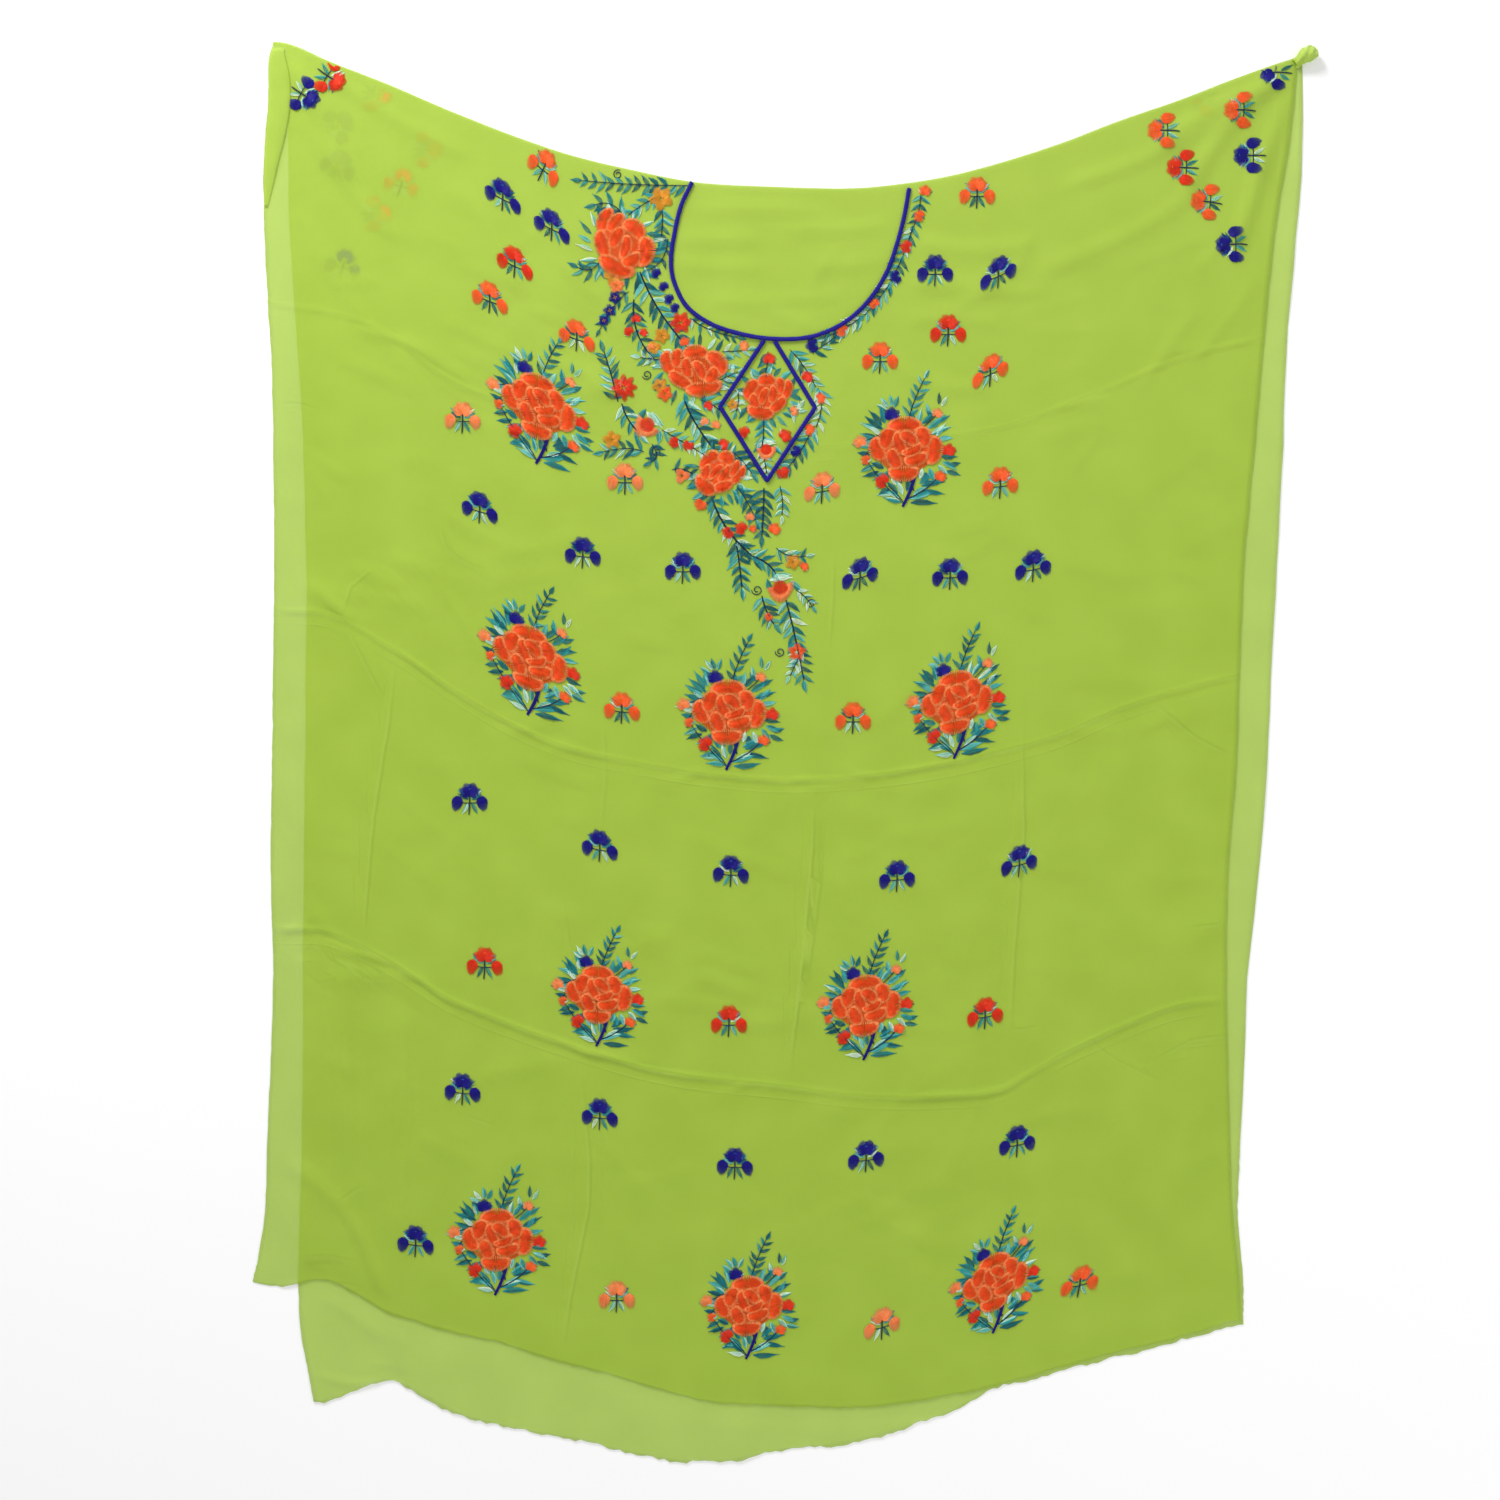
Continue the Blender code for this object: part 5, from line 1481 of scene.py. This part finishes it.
def threads_object(name, threads, height, inside, material):
    """One piece of the threads that lie inside, laid on the cloth whose height is given."""
    settings = bpy.context.scene.kurti_thread
    spots = np.concatenate([t[0] for t in threads])
    starts = np.cumsum([0] + [len(t[0]) for t in threads[:-1]])
    kept = np.logical_and.reduceat(inside(spots[:, 0], spots[:, 1]), starts)
    threads = [t for t, keep in zip(threads, kept) if keep]
    places = np.concatenate([t[0] for t in threads])
    lifts = np.concatenate([t[1] for t in threads])
    shades = np.concatenate([t[2] for t in threads])
    girths = np.concatenate([t[3] for t in threads])
    z = height(places[:, 0], places[:, 1]) + THREAD_CLEARANCE + lifts
    edges, first = [], 0
    for thread in threads:
        edges += [(first + k, first + k + 1) for k in range(len(thread[0]) - 1)]
        first += len(thread[0])
    mesh = bpy.data.meshes.new(name + "_lines")
    mesh.from_pydata(np.column_stack([places, z]), edges, [])
    for label, values in (("shade", shades), ("girth", girths)):
        mesh.attributes.new(label, "FLOAT", "POINT").data.foreach_set("value", values.astype(np.float32))
    values = {
        "Width": settings.thread_width,
        "Flatness": 0.7,
        "Sides": settings.thread_sides,
        "Material": material,
    }
    return made_real(name, mesh, thread_tree(), values)


def smooth_path(points, step):
    """Places about step apart on a smooth curve through points in photograph pixels."""
    spots = np.array([from_photo(*p) for p in points])
    lengths = np.concatenate([[0], np.cumsum(np.linalg.norm(np.diff(spots, axis=0), axis=1))])
    at = np.linspace(0, lengths[-1], max(2, round(lengths[-1] / step)) + 1)
    return np.stack([along_table(lengths, spots[:, i], at) for i in (0, 1)], -1)


def cord_object(name, places, material):
    settings = bpy.context.scene.kurti_thread
    z = front_height(places[:, 0], places[:, 1]) + 0.0002 + settings.cord_width * 0.30
    count = len(places)
    edges = [(k, k + 1) for k in range(count - 1)]
    mesh = bpy.data.meshes.new(name + "_line")
    mesh.from_pydata(np.column_stack([places, z]), edges, [])
    shade = np.full(count, 0.45, np.float32)
    mesh.attributes.new("shade", "FLOAT", "POINT").data.foreach_set("value", shade)
    values = {
        "Width": settings.cord_width,
        "Twist": settings.cord_twist,
        "Flatness": 0.55,
        "Material": material,
    }
    return made_real(name, mesh, cord_tree(), values)


def turned_rows(x, y):
    """The shoulder fold's rows over the top grid row, from the lip under the cloth up to its top."""
    rise = station("fold", x + 0.002) - station("fold", x - 0.002)
    out = np.stack([-rise, np.full_like(x, 0.004)], -1)
    out /= np.linalg.norm(out, axis=1)[:, None]
    top = front_height(x, y)
    low = np.full_like(x, 0.00025)
    radius = (top - low) / 2
    rows = [(x - out[:, 0] * FOLD_LIP, y - out[:, 1] * FOLD_LIP, low)]
    for k in range(6):
        angle = math.radians(-90 + 180 * k / 6)
        reach = radius * math.cos(angle)
        rows.append((x + out[:, 0] * reach, y + out[:, 1] * reach, low + radius * (1 + math.sin(angle))))
    return rows


class KURTI_OT_back_panel(bpy.types.Operator):
    """Make the back panel's cloth"""

    bl_idname = "kurti.back_panel"
    bl_label = "Back panel"

    def execute(self, context):
        cloth = context.scene.kurti_cloth
        step = cloth.grid_step
        u = marks_between((0.0, 1.0), (step / (2 * HALF_WIDTH),))
        v = marks_between((0.0, 0.84, 0.97, 1.0), (0.030 / 1.27, step / 1.27, 0.5 * step / 1.27))
        uu, vv = np.meshgrid(u, v)
        x, y = back_place(uu, vv)
        z = back_height(x, y)
        y[-1] += frayed(x[-1], 0.0030, 41)
        y[-2] += frayed(x[-2], 0.0010, 43)
        x[:, 0] += frayed(y[:, 0], 0.0006, 45)
        x[:, -1] += frayed(y[:, -1], 0.0008, 47)
        made = sheet_object("back_cloth", x, y, z, uu * 0.98, vv * 1.28, georgette(), cloth.wall)
        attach(made, BODY)
        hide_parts("back_panel")
        return {"FINISHED"}


class KURTI_OT_front_panel(bpy.types.Operator):
    """Make the front panel's cloth, turned over at the shoulder line"""

    bl_idname = "kurti.front_panel"
    bl_label = "Front panel"

    def execute(self, context):
        cloth = context.scene.kurti_cloth
        step = cloth.grid_step
        u = marks_between((0.0, 1.0), (step / (2 * HALF_WIDTH),))
        fine, coarse = 0.4 * step / 1.22, 1.15 * step / 1.22
        marks, steps = [0.0], []
        for crease in (0.25, 0.5, 0.75):
            marks += [crease - 0.007, crease + 0.007]
            steps += [coarse, fine]
        v = marks_between(marks + [0.985, 1.0], steps + [coarse, fine])
        uu, vv = np.meshgrid(u, v)
        x, y = front_place(uu, vv)
        z = front_height(x, y)
        y[-1] += frayed(x[-1], 0.0020, 51)
        y[-2] += frayed(x[-2], 0.0009, 53)
        x[:, 0] += frayed(y[:, 0], 0.0006, 55)
        x[:, -1] += frayed(y[:, -1], 0.0005, 57)
        for tx, ty, tz in turned_rows(x[0], y[0])[::-1]:
            x, y, z = (np.vstack([[row], grid]) for row, grid in ((tx, x), (ty, y), (tz, z)))
        lip = np.linspace(-0.006, -0.0005, 7)[:, None] * np.ones_like(u)
        uu, vv = np.vstack([uu[:7], uu]), np.vstack([lip, vv])
        creased_and_shaded = georgette("georgette_creased", creased_and_shaded=True)
        made = sheet_object(
            "front_cloth", x, y, z, uu * 0.97, vv * 1.24, creased_and_shaded, cloth.wall, crease_marks(x, y)
        )
        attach(made, BODY)
        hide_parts("front_panel")
        return {"FINISHED"}


class KURTI_OT_corners(bpy.types.Operator):
    """Make the side edge folded over at the top left, and the twisted tip at the top right"""

    bl_idname = "kurti.corners"
    bl_label = "Corners"

    def execute(self, context):
        cloth = context.scene.kurti_cloth
        pale = georgette("georgette_turned", 0.35)
        downs = np.linspace(TAB[0].down, TAB[-1].down, 48)[:, None]
        share = np.linspace(0.0, 1.0, 15)[None, :]
        width = along_table([t.down for t in TAB], [t.width for t in TAB], downs)
        width = width * (1.0 + 0.05 * unevenness(downs, 0 * downs, 0.03, 61))
        x = section("front_left", downs) + 0.0010 + width * share
        y = downs + 0.0 * share
        floor = front_height(x, y) + 0.0008
        arch = 0.0022 * np.sin(math.pi * np.clip(share * 0.9 + 0.1, 0, 1)) ** 0.6
        arch = arch * smoothstep(width / 0.016)
        z = floor + arch + 0.0004 * unevenness(x, y, 0.012, 63)
        u, v = share * 0.024 + 0 * x, downs + 0 * x
        tab = sheet_object("left_corner_cloth", x, y, z, u, v, pale, cloth.wall)
        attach(tab, BODY)
        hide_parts("left_corner_tab")
        rows = 26
        sides = 60
        along = np.linspace(0, len(KNOT) - 1, rows)
        places = np.arange(len(KNOT))
        columns = {
            name: along_table(places, [getattr(k, name) for k in KNOT], along) for name in KnotSection._fields
        }
        first, last = KNOT[0], KNOT[-1]
        axis = np.array((last.across - first.across, last.down - first.down))
        axis /= np.linalg.norm(axis)
        angle = np.linspace(0, 2 * math.pi, sides + 1)[None, :]
        turn = np.radians(columns["turn"])[:, None] * 1.6
        wave = np.cos(KNOT_PLEATS * (angle - turn)) + 0.4 * np.cos(3 * (angle + turn * 0.6))
        radius = columns["radius"][:, None] * (0.90 + 0.10 * wave)
        radius = radius * (1.0 - 0.55 * smoothstep((along[:, None] - 4.3) / 0.7))
        x = columns["across"][:, None] + axis[1] * radius * np.cos(angle)
        y = columns["down"][:, None] - axis[0] * radius * np.cos(angle)
        z = np.maximum(columns["height"][:, None] + radius * np.sin(angle), 0.0005)
        u = angle / (2 * math.pi) * 0.045 + 0 * radius
        v = along[:, None] * 0.006 + 0 * radius
        knot = sheet_object("right_corner_cloth", x, y, z, u, v, pale, cloth.wall, under=False)
        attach(knot, BODY)
        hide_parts("right_corner_knot")
        return {"FINISHED"}


class KURTI_OT_cords(bpy.types.Operator):
    """Make the corded neckline and the corded diamond"""

    bl_idname = "kurti.cords"
    bl_label = "Cords"

    def execute(self, context):
        neck = cord_object("neck_cord_yarn", smooth_path(NECK_LINE, 0.004), navy_yarn())
        corners = [np.array(from_photo(*p)) for p in DIAMOND]
        sides = []
        for a, b in zip(corners, corners[1:]):
            count = round(np.linalg.norm(b - a) / 0.004)
            sides += [a + (b - a) * k / count for k in range(count)]
        diamond = cord_object("placket_cord_yarn", np.array(sides + corners[-1:]), navy_yarn())
        for piece, node in ((neck, "neck_cord"), (diamond, "placket_cord")):
            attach(piece, BODY)
            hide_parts(node)
        return {"FINISHED"}


class KURTI_OT_embroidery(bpy.types.Operator):
    """Sew the roses, blossoms, leaves and stems on the front, and the sleeve sprigs on the back"""

    bl_idname = "kurti.embroidery"
    bl_label = "Embroidery"

    def execute(self, context):
        front, back = front_needlework().kinds, back_needlework().kinds
        rose_nodes = sorted(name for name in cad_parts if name.startswith("rose_"))
        for name, kind, material in (
            ("rose_threads", "rose", rose_yarn()),
            ("rose_edges", "rose_edge", rose_edge_yarn()),
        ):
            roses = threads_object(name, front[kind], front_height, on_front, material)
            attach(roses, BODY)
            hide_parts(*rose_nodes)
        looks = {
            "blossom": (blossom_yarn(), "orange_yarn"),
            "navy": (navy_yarn(), "navy_yarn"),
            "leaf": (leaf_yarn(), "georgette"),
            "stem": (stem_yarn(), "navy_yarn"),
            "gold": (gold_yarn(), "orange_yarn"),
        }
        for kind, (material, slot) in looks.items():
            for side, kinds, height, inside in (
                ("front", front, front_height, on_front), ("back", back, back_height, on_back)
            ):
                if kind in kinds:
                    piece = threads_object(f"{side}_{kind}_threads", kinds[kind], height, inside, material)
                    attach(piece, BODY)
        return {"FINISHED"}


class KURTI_OT_stage(bpy.types.Operator):
    """Set up the pale floor, the soft light and the camera that looks straight down"""

    bl_idname = "kurti.stage"
    bl_label = "Stage"

    def execute(self, context):
        scene = context.scene
        settings = scene.kurti_stage
        scene.view_settings.view_transform = "Standard"
        bpy.ops.mesh.primitive_plane_add(size=14.0, location=(0.0, 0.0, -0.0004))
        floor = context.object
        floor.name = "floor"
        looks = Looks("pale_floor")
        speck = looks.noise(looks.place(), 3.0, 2.0)
        looks.shade(base_color=looks.mix(speck * 0.3, (0.90, 0.90, 0.90), (0.94, 0.94, 0.94)), roughness=0.95)
        looks.shader.inputs["Emission Color"].default_value = (1.0, 1.0, 1.0, 1.0)
        looks.shader.inputs["Emission Strength"].default_value = 0.08
        floor.data.materials.append(looks.material)
        middle = from_photo(*PHOTO_MIDDLE)
        for name, place, size, power in (
            ("key", (-1.1, 2.4, 1.5), 1.0, settings.key),
            ("fill", (1.9, -1.1, 2.2), 2.4, settings.fill),
        ):
            lamp = bpy.data.lights.new(name, "AREA")
            lamp.energy = power
            lamp.size = size
            light = bpy.data.objects.new(name, lamp)
            light.location = place
            toward = light.location.copy()
            toward.x -= middle[0]
            toward.y -= middle[1]
            light.rotation_euler = toward.to_track_quat("Z", "Y").to_euler()
            scene.collection.objects.link(light)
        world = bpy.data.worlds.new("studio")
        world.use_nodes = True
        world.node_tree.nodes["Background"].inputs["Color"].default_value = (1.0, 1.0, 1.0, 1.0)
        world.node_tree.nodes["Background"].inputs["Strength"].default_value = settings.surround
        scene.world = world
        lens = bpy.data.cameras.new("camera")
        lens.sensor_width = SENSOR
        lens.lens = LENS
        lens.clip_end = 50.0
        camera = bpy.data.objects.new("camera", lens)
        camera.location = (*middle, PHOTO_SIDE * LENS / SENSOR)
        scene.collection.objects.link(camera)
        scene.camera = camera
        return {"FINISHED"}


class KURTI_PT_panel(bpy.types.Panel):
    """The steps that make the kurti length"""

    bl_idname = "KURTI_PT_panel"
    bl_label = "Kurti length"
    bl_space_type = "VIEW_3D"
    bl_region_type = "UI"
    bl_category = "Kurti"

    def draw(self, context):
        for settings in (context.scene.kurti_cloth, context.scene.kurti_thread, context.scene.kurti_stage):
            for name in settings.__annotations__:
                self.layout.prop(settings, name)
        for step in OPERATORS:
            self.layout.operator(step.bl_idname)


OPERATORS = (
    KURTI_OT_back_panel,
    KURTI_OT_corners,
    KURTI_OT_front_panel,
    KURTI_OT_cords,
    KURTI_OT_embroidery,
    KURTI_OT_stage,
)
SETTINGS = {
    "kurti_cloth": KurtiClothSettings,
    "kurti_thread": KurtiThreadSettings,
    "kurti_stage": KurtiStageSettings,
}


def register():
    for item in (*SETTINGS.values(), *OPERATORS, KURTI_PT_panel):
        bpy.utils.register_class(item)
    for name, kind in SETTINGS.items():
        setattr(bpy.types.Scene, name, PointerProperty(type=kind))


def unregister():
    for name in SETTINGS:
        delattr(bpy.types.Scene, name)
    for item in reversed((*SETTINGS.values(), *OPERATORS, KURTI_PT_panel)):
        bpy.utils.unregister_class(item)


def main():
    register()
    bpy.ops.kurti.back_panel()
    bpy.ops.kurti.corners()
    bpy.ops.kurti.front_panel()
    bpy.ops.kurti.cords()
    bpy.ops.kurti.embroidery()
    bpy.ops.kurti.stage()


if __name__ == "__main__":
    main()
